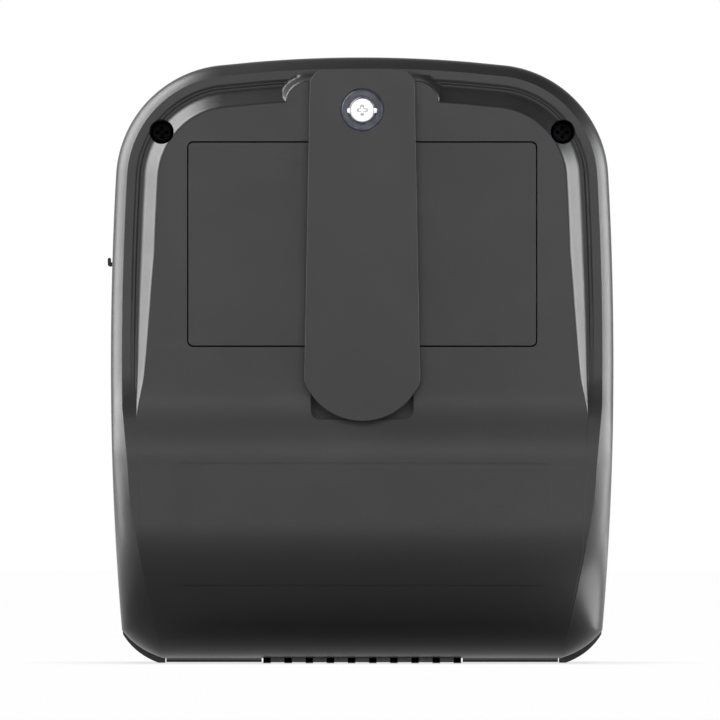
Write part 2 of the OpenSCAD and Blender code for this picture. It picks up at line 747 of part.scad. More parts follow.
// Spur gear in the y-z plane, turned by half a tooth where it has to mesh
module gear(x0, teeth, bore, y, z, turn) {
    pr = gear_m * teeth / 2;
    tip = pr + 0.9 * gear_m;
    root = pr - 1.15 * gear_m;
    pitch = 360 / teeth;
    points = [for (i = [0:teeth - 1], q = [[-0.30, root], [-0.205, pr], [-0.10, tip],
        [0.10, tip], [0.205, pr], [0.30, root]])
        let (a = turn + pitch * (i + q[0])) [q[1] * cos(a), q[1] * sin(a)]];
    along_x(x0, gear_w) translate([y, z]) difference() {
        polygon(points);
        circle(d = bore);
    }
}

module platen_gear() {
    color("#d8d6cc") gear(-gear_x - gear_w, platen_teeth, shaft_d + 0.06,
        platen_y, platen_z, 0);
}

module idler_gear() {
    color("#d8d6cc") gear(-gear_x - gear_w, idler_teeth, 2.1, idler_y, platen_z,
        180 / idler_teeth);
}

module motor_pinion() {
    a = 180 - motor_angle;
    idler_phase = (a - 180 / idler_teeth) % (360 / idler_teeth);
    color("#c7a64c") {
        gear(-gear_x - gear_w, pinion_teeth, 1.5, motor_y, motor_z,
            a + 180 + 180 / pinion_teeth + idler_phase * idler_teeth / pinion_teeth);
        rod_x(-gear_x - gear_w, gear_x + gear_w - 30, 1.5, motor_y, motor_z);
    }
}

module platen_bushes() {
    color("#c2c0b6") both_sides() difference() {
        rod_x(plate_in - 0.1, 2.8, 2 * bush_r, platen_y, platen_z);
        rod_x(0, lid_w, shaft_d + 2 * fit, platen_y, platen_z);
    }
}

// Steel chassis: two side plates with open bush seats and a top web
module print_frame() {
    low = bay_top + bay_roof_t;
    high = motor_z + 9.9;
    rear = motor_y - 13;
    front = platen_y - 0.3;
    color("#8f9296") difference() {
        union() {
            both_sides() {
                along_x(plate_in, plate_t) polygon([[rear, low], [platen_y - 8.8, low],
                    [platen_y - 8.8, bay_top + 0.2], [front, bay_top + 0.2],
                    [front, platen_z + 7], [platen_y - 7, high], [motor_y - 8, high],
                    [motor_y - 8, low + 6], [rear, low + 4]]);
                block(plate_in - 9, plate_in + 0.1, rear, motor_y - 7.5, low, low + plate_t);
            }
            block(-plate_out, plate_out, motor_y - 4, platen_y - 8, high - plate_t, high);
            for (x = spring_x) block(x - 4, x + 4, platen_y - 14.2, platen_y - 13,
                platen_z - 1, high - 0.5);
        }
        rod_x(-lid_w, 2 * lid_w, 2 * (bush_r + 0.1), platen_y, platen_z);
        rod_x(-plate_out - 1, 4, 4, motor_y, motor_z);
        rod_x(-plate_out - 1, 4, 2, idler_y, platen_z);
        both_sides() {
            rod_x(plate_in - 1, 4, 2.1, platen_y - 7, platen_z - 1.8);
            translate([foot_x, foot_y, low - 1]) cylinder(h = 4, d = 2);
        }
    }
}

module frame_screws() {
    low = bay_top + bay_roof_t + plate_t;
    color("#6d6f73") both_sides() translate([foot_x, foot_y, 0]) {
        translate([0, 0, low]) cylinder(h = 1.2, d = 3.8);
        translate([0, 0, bay_top + 0.4]) cylinder(h = low - bay_top, d = 1.7);
    }
}

module head_heat_sink() {
    color("#b6b8bb") difference() {
        union() {
            block(-roll_w / 2 + 1, roll_w / 2 - 1, platen_y - 8.6, platen_y - 6.1, platen_z - 3,
                platen_z + 9);
            both_sides() rod_x(roll_w / 2 - 1.2, plate_out - roll_w / 2 + 1.2, 2, platen_y - 7,
                platen_z - 1.8);
        }
        for (i = [-4:4]) block(8 * i - 2, 8 * i + 2, platen_y - 9, platen_y - 7.8,
            platen_z + 5.5, platen_z + 10);
    }
}

module thermal_head() {
    color("#5a3c22") block(-roll_w / 2 + 1.4, roll_w / 2 - 1.4, platen_y - 6.1, platen_y - 5.1,
        platen_z - 2.6, platen_z + 8.6);
}

function coil_y(x, z, r, y0, y1, turns) =
    [for (i = [0:8 * turns]) let (a = 360 * i / 8)
        [x + r * cos(a), mix(y0, y1, i / (8 * turns)), z + r * sin(a)]];

module head_springs() {
    color("#b9bbbf") for (x = spring_x)
        wire(head_coil(x), head_wire, [0, 1, 0.001]);
}

function head_coil(x) =
    coil_y(x, platen_z + 3, 1.5, platen_y - 13 + head_wire / 2, platen_y - 8.65 - head_wire / 2, 3);

module stepper_motor() {
    color("#85878b") difference() {
        union() {
            rod_x(-plate_in + 0.1, motor_len, motor_d, motor_y, motor_z);
            rod_x(-plate_out - 0.4, 1.7, 3.8, motor_y, motor_z);
        }
        rod_x(-plate_out - 1, 13, 1.6, motor_y, motor_z);
    }
}

module idler_stud() {
    left = -gear_x - gear_w - 0.4;
    color("#b4b6ba") rod_x(left, -plate_in - left, 1.98, idler_y, platen_z);
}

// Serrated strip that tears the paper
module tear_bar() {
    w = roll_w - 1;
    pitch = w / tear_teeth;
    low = exit_top - 0.8;
    teeth = [for (i = [0:tear_teeth - 1]) each [[-w / 2 + i * pitch, low + 1.1],
        [-w / 2 + (i + 0.5) * pitch, low]]];
    color("#c4c6c9") along_y(platen_y + 5.7, 0.6)
        polygon(concat(teeth, [[w / 2, low + 1.1], [w / 2, low + 3.4], [-w / 2, low + 3.4]]));
}

module paper_sensor() {
    low = bay_top + bay_roof_t;
    color("#1d1d1f") {
        block(sensor_x - 4, sensor_x + 4, platen_y - 12.8, platen_y - 9.4, low, low + 3);
        block(sensor_x - 2, sensor_x + 2, platen_y - 12.2, platen_y - 10, bay_top + 0.2, low);
    }
}

module main_board() {
    hw = case_w / 2 - 5.5;
    low_x = 43;
    half = [[low_x, board_low], [hw, board_low + 1], [hw, well_z - 15],
        [well_x - 5.2, well_z - 4], [well_x - 5.2, well_z + 1], [30, board_high]];
    color("#1f5a3c") difference() {
        along_y(board_y, board_t) polygon(concat(half, flip(half)));
        both_sides() for (i = [0, 1]) rod_y(board_y - 1, 4, 2.4, board_x[i], board_z[i]);
    }
}

module board_screws() {
    top = board_y + board_t;
    color("#6d6f73") both_sides() for (i = [0, 1]) {
        rod_y(top, 1.2, 4, board_x[i], board_z[i]);
        rod_y(board_y - 3, board_t + 3.1, 1.7, board_x[i], board_z[i]);
    }
}

module usb_socket() {
    x = -case_w / 2 + 3.4;
    y = board_y + board_t;
    z = (port_low + port_high) / 2;
    color("#c9cbd0") difference() {
        block(x, x + 7.6, y, y + 3.1, z - 4.5, z + 4.5);
        block(x - 1, x + 6, y + 0.5, y + 2.6, z - 4, z + 4);
    }
}

// White socket for the print mechanism's cable
module cable_socket() {
    y = board_y + board_t;
    color("#d8d4c8") difference() {
        block(-30, -12, y, y + 5, board_low + 1, board_low + 8);
        block(-29, -13, y + 1, y + 4.2, board_low, board_low + 6);
    }
}

// Rubber cover of the charging port: a bead to fold on and a hook-shaped pull tab
module port_cover() {
    x0 = -case_w / 2 + 0.4;
    tab_z = port_high - 3.1;
    bead = 1.4;
    color("#232325") {
        rod_y(yc - 7.4, 7.8, bead, x0 + bead / 2, port_low + 0.2 + bead / 2);
        block(x0, x0 + bead, yc - 7.4, yc + 0.4, port_low + 0.2 + bead / 2, port_high - 0.2);
        block(x0 - 1.2, x0 + 0.1, yc - 4.4, yc - 2.6, tab_z, tab_z + 0.9);
        block(x0 - 1.2, x0 - 0.5, yc - 4.4, yc - 2.6, tab_z, tab_z + 1.9);
    }
}

module key_board() {
    color("#1f5a3c") difference() {
        along_y(key_y, key_t) translate([0, panel_z]) square([2 * key_x + 6, 22], center = true);
        both_sides() for (z = [-key_dz, key_dz]) rod_y(key_y - 1, 4, 1.8, key_x, panel_z + z);
    }
}

module key_screws() {
    color("#6d6f73") both_sides() for (z = [-key_dz, key_dz]) {
        rod_y(key_y - 1.2, 1.2, 3.4, key_x, panel_z + z);
        rod_y(key_y - 0.1, key_t + 4, 1.4, key_x, panel_z + z);
    }
}

module tact_switches() {
    y = key_y + key_t;
    color("#2a2a2c") for (x = [feed_x, power_x]) {
        block(x - 3, x + 3, y, y + 2, panel_z - 3, panel_z + 3);
        rod_y(y + 2, 0.8, 3, x, panel_z);
    }
}

module status_lights() {
    y = key_y + key_t;
    color("#e8e4d0") for (x = light_x) block(x - 1.2, x + 1.2, y, y + 1, panel_z - 0.6,
        panel_z + 0.6);
}

module light_windows() {
    face = y_front - front_profile(panel_z);
    color("#cfd8e6") for (x = light_x) along_y(face - 2.4, 2.3) translate([x, panel_z])
        rounded(5, 1.8, 0.85);
}

// Round key cap with a flange behind the panel and a stem over its switch
module button_cap(x) {
    face = y_front - front_profile(panel_z);
    stem_y = key_y + key_t + 3.4;
    rod_y(face - 3.9, 4.7, button_d, x, panel_z);
    rod_y(face - 3.9, 1, button_d + 1.6, x, panel_z);
    rod_y(stem_y, face - 3.8 - stem_y, 3, x, panel_z);
}

module power_button() {
    color("#4a4a4d") button_cap(power_x);
}

module feed_button() {
    color("#4a4a4d") button_cap(feed_x);
}

module release_button() {
    face = y_front - front_profile(release_z);
    color("#4a4a4d") {
        along_y(face - 3.8, 4.7) translate([0, release_z]) rounded(release_w, release_h, 2.4);
        along_y(face - 3.8, 1) translate([0, release_z])
            rounded(release_w + 1.6, release_h + 1.6, 2.4);
        for (i = [-4:4]) block(2 * i - 0.4, 2 * i + 0.4, face, face + 1.1, release_z - 2.4,
            release_z + 2.4);
    }
}

echo(clip_spring_gap = least_gap(spring_path(), clip_wire),
    head_spring_gap = least_gap(head_coil(0), head_wire));

rear_case();
roll_bay();
top_case();
case_screws();
battery_door();
battery_pack();
battery_contacts();
clip_base();
clip_bush();
clip_screw();
clip_insert();
clip_pin();
clip_spring();
clip_arm();
hinge_pin();
paper_lid();
platen_shaft();
platen_rubber();
platen_gear();
platen_bushes();
print_frame();
frame_screws();
head_heat_sink();
thermal_head();
head_springs();
stepper_motor();
motor_pinion();
idler_gear();
idler_stud();
tear_bar();
paper_sensor();
main_board();
board_screws();
usb_socket();
cable_socket();
port_cover();
key_board();
key_screws();
tact_switches();
status_lights();
light_windows();
power_button();
feed_button();
release_button();
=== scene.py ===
import json
from math import acos, asin, atan2, copysign, cos, degrees, hypot, pi, radians, sin, sqrt, tan
import bpy
import bmesh
import numpy as np
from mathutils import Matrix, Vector


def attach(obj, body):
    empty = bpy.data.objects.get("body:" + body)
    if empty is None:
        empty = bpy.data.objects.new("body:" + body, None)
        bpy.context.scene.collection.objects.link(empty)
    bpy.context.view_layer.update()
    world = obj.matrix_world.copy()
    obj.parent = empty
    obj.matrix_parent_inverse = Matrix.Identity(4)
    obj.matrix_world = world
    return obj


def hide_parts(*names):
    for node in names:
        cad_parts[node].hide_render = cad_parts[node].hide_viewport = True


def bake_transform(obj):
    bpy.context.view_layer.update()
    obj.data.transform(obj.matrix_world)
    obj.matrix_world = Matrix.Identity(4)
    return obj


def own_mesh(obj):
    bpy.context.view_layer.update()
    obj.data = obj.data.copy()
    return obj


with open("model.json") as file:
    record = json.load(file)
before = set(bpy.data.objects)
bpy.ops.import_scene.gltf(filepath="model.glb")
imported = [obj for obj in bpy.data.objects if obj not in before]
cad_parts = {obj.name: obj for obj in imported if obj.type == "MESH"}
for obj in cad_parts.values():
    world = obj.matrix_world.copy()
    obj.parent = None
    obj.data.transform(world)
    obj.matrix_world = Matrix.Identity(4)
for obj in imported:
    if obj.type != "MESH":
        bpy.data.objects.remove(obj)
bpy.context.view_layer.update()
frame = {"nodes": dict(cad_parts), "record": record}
nodes = frame["nodes"]
MM = 0.001
SIDES = (-1, 1)

# Sizes in millimetres, under the names of the CAD source
CASE_W, CASE_H, WALL = 108.0, 130.3, 2.0
CORNER_R, SIDE_BOW_R, TOP_BOW_R = 25.0, 720.0, 276.0
RIM_W, RIM_H, LEDGE_DROP, LEDGE_IN, PLATEAU_IN = 2.4, 3.0, 3.2, 5.4, 9.4
PAD_W, PAD_R, PAD_IN = 33.2, 4.6, 4.8
YC, Y_BACK, Y_PLATEAU, Y_PART, Y_FRONT = 1.9, -26.6, -25.0, 3.9, 30.4
BULGE_RISE, BULGE_LOW, BULGE_TOP, BULGE_CORNER = 1.6, 44.0, 58.0, 20.0
LEDGE_END, LEDGE_TAPER, CHEEK_TOP, CHEEK_H = 55.5, 33.0, 38.0, 6.2
ROLL_Z, REAR_FOOT, REAR_FOOT_IN, FRONT_FOOT_IN, FOOT_R = 30.0, 1.1, 11.1, 10.1, 14.0
CREASE_RUN, PARTING_LIP, FRONT_EDGE, FRONT_ROUND = 7.4, ((0.25, 0), (0.04, 0.12), (0, 0.3)), 5.6, 6
HINGE_Y, HINGE_Z, HINGE_PIN_D, BARREL_D, MID_BARREL = 18.4, 4.3, 3.0, 8.2, 42.6
LAND_H, LAND_W, LAND_COUNT = 0.2, 1.6, 10
EXIT_TOP, PANEL_Z, RELEASE_Z, PANEL_TILT = 68.2, 100.2, 79.2, 6.0
LID_TOP, LID_W, LID_FOOT_W, KNUCKLE_X = 63.8, 92.0, 84.6, (21.7, 42.3)
PLATEN_Y, PLATEN_Z, PLATEN_D, SHAFT_D, BUSH_R = 21.4, 62.0, 10.0, 4.0, 3.5
WELL_X, WELL_Z, WELL_FLOOR = 43.1, 114.3, -1.1
DOOR_Z, DOOR_W, DOOR_H, DOOR_T, DOOR_GAP = 90.15, 74.6, 43.6, 1.8, 0.3
NOTCH_W, NOTCH_H, POCKET_Y, FLOOR_Y, BOARD_Y = 18.0, 6.0, -23.0, -5.6, -2.8
BOARD_X, BOARD_Z = (34.0, 27.0), (81.0, 119.3)
CLIP_SCREW_Z, CLIP_PIN_Y, CLIP_PIN_Z, CLIP_PIN_D = 118.9, -26.7, 112.0, 1.5
ARM_TIP, ARM_TOP, ARM_W, TIP_W, ARM_T, ARM_GAP = 52.2, 127.7, 22.4, 24.8, 2.2, 3.2
ARM_HOLE_D, CLIP_WIRE, CLIP_CURLS = 9.5, 0.6, 5
PORT_LOW, PORT_HIGH, CONTACT_X = 75.0, 88.5, 6.0
KEY_X, KEY_DZ, KEY_Y, KEY_T = 38.0, 7.0, 16.4, 1.2
FEED_X, POWER_X, LIGHT_X, BUTTON_D = 5.0, 26.0, (-30.0, -22.0, -14.0), 11.0
RELEASE_W, RELEASE_H, SLIP, FIT = 38.0, 8.0, 0.15, 0.05
SPRING_X, HEAD_WIRE, PIN_BORE = (-14.0, 22.0), 0.5, HINGE_PIN_D + 2 * FIT
OPENING_X, CHEEK_X, CHEEK_END, CHEEK_D = 46.4, 42.5, 47.9, 29.6
BOSS_D, WELL_D, SCREW_HOLE_D, POST_D, PILOT_D = 8.6, 5.3, 3.2, 5, 1.8

# Stage: strengths without a unit, lengths in metres
ROOM_LIGHT, FLOOR_WHITE, FLOOR_SHADE, FLOOR_HALF = 0.06, 0.99, 0.2, 3.0
FLOOR_SWEEP, FLOOR_DIM_HALF = (-0.020, -0.008, 0.0, 0.9), 0.085
CONTACT_REACH, CONTACT_SHADOW, BACKDROP = 0.025, (0.2, 1, 0.76, 1), (0.35, 0.7, 0, 1)


# Node helpers: a socket knows its tree, so most of them need no tree
def put(socket, value):
    """Joins an input to a socket, or gives it a number, a vector or a colour."""
    if isinstance(value, bpy.types.NodeSocket):
        socket.id_data.links.new(value, socket)
    else:
        socket.default_value = (*value, 1) if socket.type == "RGBA" else value


def made(tree, kind, **inputs):
    """New shader node with its inputs joined or set by name, with _ for each space."""
    node = tree.nodes.new("ShaderNode" + kind)
    for name, value in inputs.items():
        put(node.inputs[name.replace("_", " ")], value)
    return node


def empty_tree(owner):
    owner.use_nodes = True
    owner.node_tree.nodes.clear()
    return owner.node_tree


def ranged(value, low, high, to_low, to_high):
    return made(value.id_data, "MapRange", Value=value, From_Min=low, From_Max=high,
        To_Min=to_low, To_Max=to_high).outputs[0]


def calculate(operation, a, b=0):
    """Result of an operation on the socket a and on b, a number or a socket."""
    step = a.id_data.nodes.new("ShaderNodeMath")
    step.operation = operation
    put(step.inputs[0], a)
    put(step.inputs[1], b)
    return step.outputs[0]


def mixed_shader(share, first, second):
    step = share.id_data.nodes.new("ShaderNodeMixShader")
    for socket, value in zip(step.inputs, (share, first.outputs[0], second.outputs[0])):
        put(socket, value)
    return step


# Mesh building: every helper takes millimetres and returns an object in metres
def in_scene(name, data):
    """New object of the scene that holds a mesh, a camera or a light."""
    thing = bpy.data.objects.new(name, data)
    bpy.context.scene.collection.objects.link(thing)
    return thing


def new_object(name, points, faces, edges=()):
    mesh = bpy.data.meshes.new(name)
    mesh.from_pydata((np.asarray(points, dtype=float) * MM).tolist(), edges, faces)
    mesh.update()
    return in_scene(name, mesh)


def turn_outwards(piece):
    work = bmesh.new()
    work.from_mesh(piece.data)
    bmesh.ops.remove_doubles(work, verts=work.verts, dist=1e-8)
    bmesh.ops.recalc_face_normals(work, faces=work.faces)
    work.to_mesh(piece.data)
    work.free()
    return piece


def side_faces(count, m, closed=False):
    """Faces between neighbouring rings of m points, and from last to first if closed."""
    faces = []
    for k in range(count if closed else count - 1):
        for i in range(m):
            j, n = (i + 1) % m, (k + 1) % count
            faces.append([k * m + i, k * m + j, n * m + j, n * m + i])
    return faces


def closed_skin(name, halves):
    """Skin through half rings, mirrored here, with strips across its last ring."""
    half = len(halves[0])
    m = 2 * half
    rings = [np.concatenate([h, (h * [-1, 1, 1])[::-1]]) for h in halves]
    last = (len(rings) - 1) * m
    faces = [list(range(m))] + side_faces(len(rings), m)
    for i in range(half - 1):
        faces.append([last + i, last + i + 1, last + m - 2 - i, last + m - 1 - i])
    return turn_outwards(new_object(name, np.concatenate(rings), faces))


def loft(name, rings):
    """Closed solid through rings of equal count, capped at both ends."""
    m = len(rings[0])
    faces = [list(range(m)), [(len(rings) - 1) * m + i for i in range(m)]]
    return turn_outwards(new_object(name, np.concatenate(rings), faces + side_faces(len(rings), m)))


def block(x0, x1, y0, y1, z0, z1):
    ring = np.array([(x0, y0), (x1, y0), (x1, y1), (x0, y1)])
    return loft("block", [np.column_stack([ring, np.full(4, z)]) for z in (z0, z1)])


def rounded(w, h, r, steps=10):
    """Rounded rectangle about the origin, as points of two coordinates."""
    points = []
    for cx, cy, a0 in ((1, 1, 0), (-1, 1, 90), (-1, -1, 180), (1, -1, 270)):
        points += arc_points(cx * (w / 2 - r), cy * (h / 2 - r), r, a0, a0 + 90, steps)
    return np.array(points)


def arc_points(cx, cy, r, a0, a1, steps):
    return [(cx + r * cos(radians(a)), cy + r * sin(radians(a)))
        for a in np.linspace(a0, a1, steps)]


def shape_at(shape, y):
    """Shape given in x and z, set at the depth y."""
    return np.column_stack([shape[:, 0], np.full(len(shape), y), shape[:, 1]])


def along_y(shape, y0, y1, centre=(0, 0)):
    """Prism between y0 and y1 of a shape given in x and z."""
    s = np.asarray(shape, dtype=float) + centre
    return loft("prism", [shape_at(s, y) for y in (y0, y1)])


def along_x(shape, x0, x1):
    """Prism between x0 and x1 of a shape given in y and z."""
    s = np.asarray(shape, dtype=float)
    return loft("prism", [np.column_stack([np.full(len(s), x), s]) for x in (x0, x1)])


def softened(shape, y0, y1, edge, centre=(0, 0), steps=5, both=False):
    """Prism along y whose edge at y0, or at both ends, is rounded."""
    s = np.asarray(shape, dtype=float)
    step = np.roll(s, -1, 0) - np.roll(s, 1, 0)
    normal = np.column_stack([step[:, 1], -step[:, 0]])
    normal /= np.maximum(1e-9, np.hypot(*normal.T))[:, None]
    area = 0.5 * np.sum(s[:, 0] * np.roll(s[:, 1], -1) - np.roll(s[:, 0], -1) * s[:, 1])
    normal *= copysign(1, area)

    def ring(a, end, way):
        return shape_at(s - normal * edge * (1 - cos(a)) + centre,
            end + way * edge * (1 - sin(a)))
    rings = [ring(a, y0, 1) for a in np.linspace(pi / 2, 0, steps)]
    if both:
        rings += [ring(a, y1, -1) for a in np.linspace(0, pi / 2, steps)]
    else:
        rings.append(shape_at(s + centre, y1))
    return loft("softened", rings)


def placed(axis, along, u, v, centre):
    """Points given along and across the axis x or y, moved to the centre."""
    along, u, v = np.broadcast_arrays(along, u, v)
    return np.column_stack((along, u, v) if axis == "x" else (u, along, v)) + centre


def turned(profile, centre, axis, steps=64):
    """Solid of revolution: profile holds (distance along the axis, radius) pairs."""
    a = np.linspace(0, 2 * pi, steps, endpoint=False)
    return loft("turned", [placed(axis, along, r * np.cos(a), r * np.sin(a), centre)
        for along, r in profile])


def turned_ring(profile, centre, axis, steps=96):
    """Ring of revolution: the profile is a closed loop of (distance, radius) pairs."""
    along, r = np.array(profile, dtype=float).T
    rings = [placed(axis, along, r * cos(a), r * sin(a), centre)
        for a in np.linspace(0, 2 * pi, steps, endpoint=False)]
    faces = side_faces(steps, len(profile), True)
    return turn_outwards(new_object("ring", np.concatenate(rings), faces))


def rod_x(x0, x1, d, y, z, steps=64):
    return turned([(x0, d / 2), (x1, d / 2)], (0, y, z), "x", steps)


def rod_y(y0, y1, d, x, z, steps=48):
    return turned([(y0, d / 2), (y1, d / 2)], (x, 0, z), "y", steps)


def hinge_rod(x0, x1, d, steps=96):
    return rod_x(x0, x1, d, HINGE_Y, HINGE_Z, steps)


def chamfered(x0, x1, d, y, z, edge=0.25, steps=64):
    """Rod along x with its two ends chamfered."""
    r = d / 2
    return turned([(x0, r - edge), (x0 + edge, r), (x1 - edge, r), (x1, r - edge)], (0, y, z),
        "x", steps)


def frozen(piece):
    """Applies an object's live modifiers to its own mesh."""
    graph = bpy.context.evaluated_depsgraph_get()
    mesh = bpy.data.meshes.new_from_object(piece.evaluated_get(graph))
    piece.modifiers.clear()
    old = piece.data
    piece.data = mesh
    bpy.data.meshes.remove(old)
    return piece


def combine(piece, operation, tools):
    """Adds, cuts or keeps each tool in turn, and uses the tools up."""
    for tool in tools:
        step = piece.modifiers.new("step", "BOOLEAN")
        step.operation = operation
        step.solver = "MANIFOLD"
        step.object = tool
    frozen(piece)
    for tool in tools:
        bpy.data.objects.remove(tool)
    return piece


def cut(piece, *tools):
    return combine(piece, "DIFFERENCE", tools)


def join(piece, *tools):
    return combine(piece, "UNION", tools)


def merged(*pieces):
    """Puts several closed meshes into the first one's mesh, without a boolean."""
    work = bmesh.new()
    for piece in pieces:
        work.from_mesh(piece.data)
    work.to_mesh(pieces[0].data)
    work.free()
    for piece in pieces[1:]:
        bpy.data.objects.remove(piece)
    return pieces[0]


def without_slivers(piece):
    """Splits the faces into triangles and closes up those with no area."""
    work = bmesh.new()
    work.from_mesh(piece.data)
    bmesh.ops.triangulate(work, faces=work.faces)
    bmesh.ops.dissolve_degenerate(work, dist=3e-7, edges=work.edges)
    work.to_mesh(piece.data)
    work.free()
    return piece


def smoothed(piece, angle):
    """Smooth shading with hard edges past the angle, and flat faces kept truly flat."""
    piece.data.shade_smooth()
    piece.data.set_sharp_from_angle(angle=radians(angle))
    step = piece.modifiers.new("step", "WEIGHTED_NORMAL")
    step.mode = "FACE_AREA"
    step.weight = 50
    step.keep_sharp = True
    return frozen(piece)


def show(piece, name, body, slot, *replaced, finish=None, angle=30):
    """Smooths and names a finished piece, gives it its material, and hands it to its body.

    A body given as (first, second, start, end) leaves the piece with no body: its place is baked
    into its mesh.
    The material is the one of the slot, unless a finish is named.
    """
    smoothed(piece, angle)
    piece.name = name
    piece.data.name = name
    piece.data.materials.clear()
    piece.data.materials.append(FINISH[finish or slot])
    if isinstance(body, tuple):
        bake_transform(piece)
    else:
        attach(piece, body)
    if replaced:
        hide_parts(*replaced)
    return piece


# Camera, stage and lights
def place_camera():
    """Long lens, square on to the back, so that the frame covers 720 by 0.215 mm."""
    lens, sensor, pixel = 1600.0, 36.0, 0.215
    distance = lens / sensor * 720 * pixel
    data = bpy.data.cameras.new("photo_camera")
    data.lens, data.sensor_width = lens, sensor
    data.clip_start, data.clip_end = 0.5, 40
    camera = in_scene("photo_camera", data)
    camera.location = Vector((-0.47, -15 - distance, 65.27)) * MM
    camera.rotation_euler = (radians(90), 0, 0)
    bpy.context.scene.camera = camera


def mirror_rays(path):
    """Share of rays that come by a mirror image or through a clear window."""
    return calculate("MAXIMUM", path.outputs["Is Glossy Ray"], path.outputs["Is Transmission Ray"])


def white_paper(name, shade):
    """Pale floor that the camera sees as white and that keeps its shadow.

    The camera looks through it, so that the lid shows when it swings below the floor's level.
    Reflections see the white sweep that starts under the object, and a dim floor before it.
    """
    material = bpy.data.materials.new(name)
    tree = empty_tree(material)
    path, place = made(tree, "LightPath"), made(tree, "TexCoord").outputs["Object"]
    parts = made(tree, "SeparateXYZ", Vector=place).outputs
    contact = made(tree, "AmbientOcclusion", Distance=CONTACT_REACH)
    contact.samples = 8
    shadow = ranged(contact.outputs["AO"], *CONTACT_SHADOW)
    beside = calculate("SUBTRACT", calculate("ABSOLUTE", parts["X"]), FLOOR_DIM_HALF)
    sweep = ranged(calculate("MAXIMUM", parts["Y"], beside), *FLOOR_SWEEP)
    lit = mixed_shader(calculate("MULTIPLY", mirror_rays(path), sweep),
        made(tree, "BsdfDiffuse", Color=(shade, shade, shade)),
        made(tree, "Emission", Strength=shadow))
    seen = calculate("MULTIPLY", path.outputs["Is Camera Ray"], FLOOR_WHITE)
    sheet = mixed_shader(seen, lit, made(tree, "BsdfTransparent", Color=shadow))
    made(tree, "OutputMaterial", Surface=sheet.outputs[0])
    return material


def build_stage():
    half = FLOOR_HALF / MM
    corners = [(x * half, y * half, 0) for x, y in ((-1, -1), (1, -1), (1, 1), (-1, 1))]
    floor = new_object("floor", corners, [(0, 1, 2, 3)])
    floor.data.materials.append(white_paper("floor_paper", FLOOR_SHADE))


def build_world():
    """Dim room, white for the camera, with a white backdrop behind the object in reflections."""
    world = bpy.data.worlds.new("studio")
    bpy.context.scene.world = world
    tree = empty_tree(world)
    path, place = made(tree, "LightPath"), made(tree, "TexCoord").outputs["Generated"]
    behind = ranged(made(tree, "SeparateXYZ", Vector=place).outputs["Y"], *BACKDROP)
    white = calculate("MAXIMUM", path.outputs["Is Camera Ray"],
        calculate("MULTIPLY", mirror_rays(path), behind))
    room, sky = [made(tree, "Background", Color=(1, 1, 1), Strength=light)
        for light in (ROOM_LIGHT, 1.0)]
    made(tree, "OutputWorld", Surface=mixed_shader(white, room, sky).outputs[0])


def softbox(name, place, target, size, power):
    data = bpy.data.lights.new(name, "AREA")
    data.shape = "RECTANGLE"
    data.size, data.size_y = size
    data.energy = power
    lamp = in_scene(name, data)
    lamp.location = place
    lamp.rotation_euler = (Vector(target) - Vector(place)).to_track_quat("-Z", "Y").to_euler()
    lamp.visible_camera = False


place_camera()
build_stage()
build_world()
softbox("left_softbox", (-0.85, -0.06, 0.48), (0, 0, 0.08), (0.5, 1.7), 37)
softbox("right_softbox", (1.0, -0.06, 0.08), (0, 0, 0.07), (0.5, 0.7), 16.5)
softbox("front_softbox", (0, -2.2, 0.25), (0, 0, 0.08), (1.5, 1.0), 13)
softbox("left_low_strip", (-0.32, -0.06, 0.004), (-0.32, -0.06, 1), (0.36, 0.4), 0.9)
softbox("right_near_strip", (0.073, -0.031, 0.001), (0.073, -0.031, 1), (0.036, 0.038), 0.023)
softbox("right_low_strip", (0.32, -0.06, 0.004), (0.32, -0.06, 1), (0.36, 0.4), 2.4)
bpy.context.scene.view_settings.view_transform = "Standard"


# Materials: each is built from nodes, on the object's own coordinates
FINISH = {}


def fresh(name):
    """Starts a material, kept in FINISH under its name, and returns its coordinates."""
    FINISH[name] = bpy.data.materials.new(name)
    return made(empty_tree(FINISH[name]), "TexCoord").outputs["Object"]


def finished(height, depth, strength=1.0, **inputs):
    """Ends a material: bump from the height, and the shader's other inputs by name."""
    tree = height.id_data
    bump = made(tree, "Bump", Strength=strength, Distance=depth * MM, Height=height)
    shader = made(tree, "BsdfPrincipled", Normal=bump.outputs[0], **inputs)
    made(tree, "OutputMaterial", Surface=shader.outputs[0])


def scaled(place, scale, turn=(0, 0, 0)):
    return made(place.id_data, "Mapping", Scale=scale, Rotation=turn, Vector=place).outputs[0]


def noise(place, scale, detail=2.0, rough=0.5, warp=0.0):
    return made(place.id_data, "TexNoise", Scale=scale, Detail=detail, Roughness=rough,
        Distortion=warp, Vector=place).outputs["Fac"]


def cells(place, scale):
    return made(place.id_data, "TexVoronoi", Scale=scale, Vector=place).outputs["Distance"]


def blended(share, first, second):
    """Mixes two colours, each given as numbers or as a socket."""
    step = share.id_data.nodes.new("ShaderNodeMix")
    step.data_type = "RGBA"
    for i, value in ((0, share), (6, first), (7, second)):
        put(step.inputs[i], value)
    return step.outputs[2]


def shade(colour, factor):
    return tuple(min(1.0, c * factor) for c in colour)


